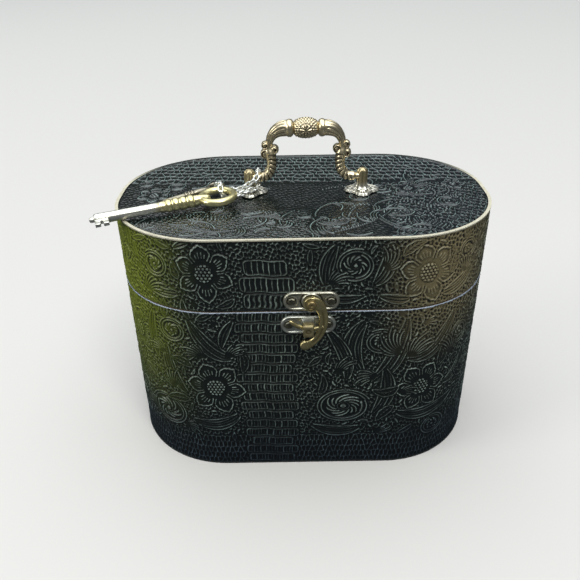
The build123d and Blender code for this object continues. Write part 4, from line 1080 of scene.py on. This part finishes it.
# Handle posts and rosettes
# Cast feet of the bail handle: a four-lobed rosette with a beaded border lies on the lid, and a
# fluted post stands on it and takes the bail's stub. Threaded shanks go down through the board.
handle_x = 2.4
pivot_height = 182.0
post_reach = 36.5


def rosette(turn, v):
    """The four-lobed rosette: its reach and height."""
    edge = 8.2 + 3.2 * np.abs(np.cos(2 * turn)) ** 1.6 + 0.2 * np.cos(24 * turn)
    share = np.where(v < 0.85, v / 0.85, np.clip((1 - v) / 0.1, 0, 1))
    height = 0.85 + 0.95 * line(share - 0.90, 0.07) + 0.22 * np.cos(24 * turn) * line(share - 0.72, 0.12)
    height += 1.1 * ease((0.58 - share) / 0.1) + 0.3 * line(share - 0.54, 0.05)
    height = np.where(share > 0.985, 0.5, height)
    return edge * share, np.where(v > 0.87, 0, height)


def post(turn, v):
    """The fluted and domed post: its reach and height."""
    rise = 1.6 + 13.9 * v
    spread = 3.25 + 1.7 * line(rise - 1.6, 1.3) - 0.15 * line(rise - 7, 3)
    dome = np.sqrt(np.clip(1 - (np.maximum(rise - 12.6, 0) / 2.9) ** 2, 0, 1))
    return spread * (1 + 0.13 * np.cos(6 * turn)) * dome, rise


def on_lid(turn, v, x, profile):
    """Stands a profile of reach and height on the lid."""
    reach, height = profile(turn, v)
    return x + reach * np.cos(turn), reach * np.sin(turn), lid_crown + height


pale_bronze = plated("pale_bronze", shade(222, 220, 208), shade(70, 64, 50), 0.35, 0.3)
turn_colour(pale_bronze, "Z", 175.5, 178.5, shade(226, 212, 178))
for side, x in (("left", handle_x - post_reach), ("right", handle_x + post_reach)):
    for part, *foot_skin in (("rosette", 144, 44, on_lid, x, rosette), ("post", 72, 48, on_lid, x, post)):
        node = f"handle_{part}_{side}"
        cast([foot_skin], node + "_cast", "lid", node, pale_bronze)


# Bail handle
# One casting in champagne brass with dark recesses. From each stub a rope-ridged leg curls up past
# three volutes and swells into a fluted horn; smooth collars hold the flowered bead in the middle.
def bent_run(place, heading, bends):
    """Lengths, places and headings along a wire of straight and bent parts, each a (length, turn)."""
    run = [(0.0, *place, heading)]
    for length, turn in bends:
        for _ in range(40):
            far, x, z, heading = run[-1]
            middle = heading + turn / 80
            x, z = x + length / 40 * math.cos(middle), z + length / 40 * math.sin(middle)
            run.append((far + length / 40, x, z, middle + turn / 80))
    return np.array(run).T


# From the stub inwards: radius in mm and turn in degrees of each bend, between two straight ends
leg_arcs = [(7.2, -80), (23.5, -25), (14, 35), (11, 70)]
leg_bends = [(radius * math.radians(abs(turn)), math.radians(turn)) for radius, turn in leg_arcs]
leg_bends = [(9.2, 0), *leg_bends, (2.0, 0)]
stub_end = 38.7
bail_run = bent_run((stub_end, 0), math.pi, leg_bends)
bail_length = bail_run[0, -1]
bead_height = pivot_height + bail_run[2, -1]
volute_length = sum(length for length, _ in leg_bends[:3])
volute_half_thick = 2.4
bead_half_length = 7.7
bead_radius = 6.45
collar_middle = 10.2
collar_radius = 5.55


def bail_leg(turn, v, side):
    """A leg and its horn: stub, rope ridges on the curl, flutes on the horn."""
    along = v * bail_length
    x, z, heading = (np.interp(along, bail_run[0], values) for values in bail_run[1:])
    swell = ease((along - volute_length - 1.5) / (bail_length - volute_length - 4)) ** 1.5
    limb = ease((along - 5.8) / 2.5) * ease((volute_length + 5 - along) / 5)
    rope = 0.30 * np.cos(2 * math.pi * along / 2.7 + 2.6 * turn) * ease((0.75 + np.cos(turn)) / 0.7)
    rope *= ease((along - 8) / 2) * ease((volute_length + 1 - along) / 2)
    flute = 0.42 * (np.abs(np.cos(6 * turn)) - 0.6) * ease((along - volute_length - 3) / 3)
    flute *= ease((bail_length - 2.0 - along) / 1.5)
    reach = 2.1 + 0.85 * limb + 2.85 * swell + rope + flute * (0.45 + 0.55 * swell)
    reach += 0.7 * line(along - volute_length, 3.0)
    away = reach * np.cos(turn)
    x, z = x - away * np.sin(heading), z + away * np.cos(heading)
    return handle_x + side * x, reach * np.sin(turn), pivot_height + z


def volute(turn, v, side, place, radius, hand):
    """A flat round scroll with a coil on both faces."""
    reach = radius * np.sin(math.pi * v) ** 0.45
    face = np.cos(math.pi * v)
    coil = 2 * math.pi * reach / (radius * 0.62) - hand * side * turn
    coil = 0.42 * np.cos(coil) * ease((radius - reach) / 0.5) * (np.abs(face) > 0.02)
    level = -np.sign(face) * (volute_half_thick * np.abs(face) ** 0.38 + coil)
    x, z = side * place[0] + reach * np.cos(turn), place[1] + reach * np.sin(turn)
    return handle_x + x, level, pivot_height + z


def bail_bead(turn, v):
    """The bead: an egg with a flower front and back, and rings of beads round the flowers."""
    x = -bead_half_length * np.cos(math.pi * v)
    reach = bead_radius * np.sqrt(1 - (x / 9.9) ** 2) - 0.5 * ease((np.abs(x) - 6.9) / 0.8)
    round_front = np.abs((turn + math.pi) % (2 * math.pi) - math.pi)
    round_front = np.minimum(round_front, math.pi - round_front) * bead_radius
    upright = round_front * np.where(np.sin(turn) > 0, 1, -1)
    far, bearing = np.hypot(x, upright), np.arctan2(upright, x)
    petals = (0.5 + 0.5 * np.cos(8 * bearing)) * ease((far - 0.7) / 0.5) * ease((3.9 - far) / 0.6)
    beads = np.zeros(far.shape)
    for ring, count in ((4.9, 16), (6.6, 22), (8.4, 28), (10.1, 34)):
        beads = np.maximum(beads, line(far - ring, 0.55) * (0.5 + 0.5 * np.cos(count * bearing)))
    reach += 0.5 * np.maximum(petals, 0.9 * beads) - 0.25
    return handle_x + x, -reach * np.cos(turn), bead_height + reach * np.sin(turn)


def bail_collar(turn, v, side):
    """A smooth collar between a horn and the bead."""
    x = collar_middle - 2.6 * np.cos(math.pi * v)
    reach = collar_radius * np.sin(math.pi * v) ** 0.35
    return handle_x + side * x, reach * np.cos(turn), bead_height + reach * np.sin(turn)


champagne = plated("champagne_brass", shade(228, 214, 180), shade(46, 36, 20), 0.3, 0.26)
bail_skins = []
for side in (-1, 1):
    bail_skins += [
        (72, 190, bail_leg, side),
        (40, 30, volute, side, (20.1, 18.4), 3.0, 1),
        (40, 30, volute, side, (25.6, 15.8), 3.2, -1),
        (36, 26, volute, side, (25.6, 21.2), 2.5, 1),
        (48, 24, bail_collar, side),
    ]
bail_skins.append((160, 90, bail_bead))
cast(bail_skins, "handle_bail_cast", "handle_bail", "handle_bail", champagne, 0.07)


# Keys
# A large tubular key plated pale gold, with a ringed neck and a flat bit, and a small flat-bitted key
# in darker silver. Both lie on the lid with their bows on the chain.
def key_axes(place, turn, tilt):
    """A key's origin at its bow, and its directions along the shank, towards the bit and off the lid."""
    bearing, tilt = math.radians(turn), math.radians(tilt)
    level = math.cos(tilt)
    ahead = Vector((-math.cos(bearing) * level, -math.sin(bearing) * level, -math.sin(tilt)))
    aside = Vector((math.sin(bearing), -math.cos(bearing), 0))
    off_lid = ahead.cross(aside)
    return Vector(place), ahead, aside, off_lid if off_lid.z > 0 else -off_lid


def lie(axes, along, across, above):
    """Places on the lid from places in a piece's own frame."""
    origin, ahead, aside, off_lid = axes
    return tuple(origin[i] + along * ahead[i] + across * aside[i] + above * off_lid[i] for i in range(3))


def wire_ring(turn, v, axes, radius, wire, flatness=1, straight=0):
    """A ring of wire, round, or drawn out to an oval by a straight length."""
    round_wire = 2 * math.pi * v
    reach = radius + wire * np.cos(round_wire)
    along = reach * np.cos(turn) + straight * np.clip(np.cos(turn) * 3, -1, 1)
    return lie(axes, along, reach * np.sin(turn), wire * flatness * np.sin(round_wire))


def key_shank(turn, v, axes, stations):
    """A turned shank from (place, radius) stations."""
    knots = np.linspace(0, 1, len(stations))
    along, reach = (np.interp(v, knots, values) for values in np.array(stations).T)
    return lie(axes, along, reach * np.cos(turn), reach * np.sin(turn))


def key_block(axes, near, far, low, high, thickness):
    """The matrix of a flat block of a key's bit."""
    origin, ahead, aside, off_lid = axes
    middle = origin + ahead * (near + far) / 2 + aside * (low + high) / 2
    turn = Matrix((ahead, aside, off_lid)).transposed().to_4x4()
    size = Matrix.Diagonal(((far - near) * MM, (high - low) * MM, thickness * MM, 1))
    return Matrix.Translation(middle * MM) @ turn @ size


def turned_rings(start, pitch, count, ring):
    """The stations of a row of equal rings turned on a shank."""
    return [(start + pitch * number + along, radius) for number in range(count) for along, radius in ring]


def make_key(node, axes, bow, shank, bits, thickness, material):
    """One key: the ring of its bow, its turned shank and the blocks of its bit."""
    columns, rows_each, stations = shank
    skins = [(*bow[:2], wire_ring, axes, *bow[2:])]
    skins.append((columns, rows_each * (len(stations) - 1), key_shank, axes, stations))
    blocks = [key_block(axes, *bit, thickness) for bit in bits]
    cast(skins, node + "_cast", node, node, material, blocks=blocks)


pale_gold = plated("pale_gold", shade(234, 234, 224), shade(96, 90, 66), 0.35, 0.28)
turn_colour(pale_gold, "X", -91, -84, shade(254, 244, 196))
large_shank = [
    (4.4, 0), (4.9, 1.6), (6, 2.5), (8.5, 2.9), (12.4, 3.2), (14.4, 3.3),
    *turned_rings(15, 4.6, 4, [(0, 3.35), (0.7, 3.85), (1.6, 4), (2.6, 3.95), (3.4, 3.7), (4, 3.35)]),
    (34.5, 3.3), (36.5, 3.05), (50, 3.15), (64, 3.2), (70, 3.3), (72.2, 3.3), (74, 3.25), (75, 2.9),
    (75, 1.7), (76.5, 1.65), (77.6, 1.4), (78, 0),
]
large_bits = [(67, 75, 1, 5), (67, 70.2, 4.6, 10), (71.8, 75, 4.6, 10)]
large_axes = key_axes((-53, -23, 178.5), 19, 2.7)
large_bow = (72, 28, 10, 2.4, 0.95)
make_key("large_key", large_axes, large_bow, (40, 4, large_shank), large_bits, 2.2, pale_gold)

dark_silver = plated("dark_silver", shade(158, 152, 134), shade(44, 40, 32), 0.5, 0.24)
small_shank = [
    (4.2, 0), (5, 1), (8, 1.9), (15.6, 1.9),
    *turned_rings(15.8, 2.2, 3, [(0, 1.8), (0.5, 2.4), (1, 2.5), (1.5, 2.4), (1.8, 1.8)]),
    (23.5, 1.9), (34.5, 1.9), (36.4, 1.8), (37, 1.2), (37, 0),
]
small_bits = [(31, 37, 0.6, 3), (31, 33.5, 2.8, 5.5), (34.5, 37, 2.8, 5.5)]
small_axes = key_axes((-56, -3, 177), 30, 4.6)
small_bow = (56, 20, 4.9, 1.2)
make_key("small_key", small_axes, small_bow, (28, 3, small_shank), small_bits, 1.4, dark_silver)


# Key chain
# Thirty-two oval links of bright silver wire, each turned a quarter from the next, looped round the
# bail's left foot and through both bows.
link_half_length = 2.25
link_half_width = 1.42
link_straight = link_half_length - link_half_width
link_wire = 0.6


def link_places(mesh):
    """Centre and directions of each link, from the separate islands of the CAD chain's mesh."""
    solid = bmesh.new()
    solid.from_mesh(mesh)
    bmesh.ops.remove_doubles(solid, verts=solid.verts, dist=1e-6)
    solid.verts.index_update()
    seen, spots = set(), []
    for vert in solid.verts:
        if vert.index in seen:
            continue
        island, edge = [], [vert]
        seen.add(vert.index)
        while edge:
            here = edge.pop()
            island.append(tuple(here.co))
            for other in (line_edge.other_vert(here) for line_edge in here.link_edges):
                if other.index not in seen:
                    seen.add(other.index)
                    edge.append(other)
        cloud = np.array(island) / MM
        spots.append((cloud.mean(0), *np.linalg.svd(cloud - cloud.mean(0), full_matrices=False)[2]))
    solid.free()
    return spots


bright_silver = plated("bright_silver", shade(246, 248, 244), shade(120, 118, 108), 0.2, 0.3)
link_sizes = (link_half_width, link_wire, 1, link_straight)
links = link_places(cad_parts["key_chain"].data)
chain_skins = [(24, 8, wire_ring, axes, *link_sizes) for axes in links]
cast(chain_skins, "key_chain_links", "lid", "key_chain", bright_silver)
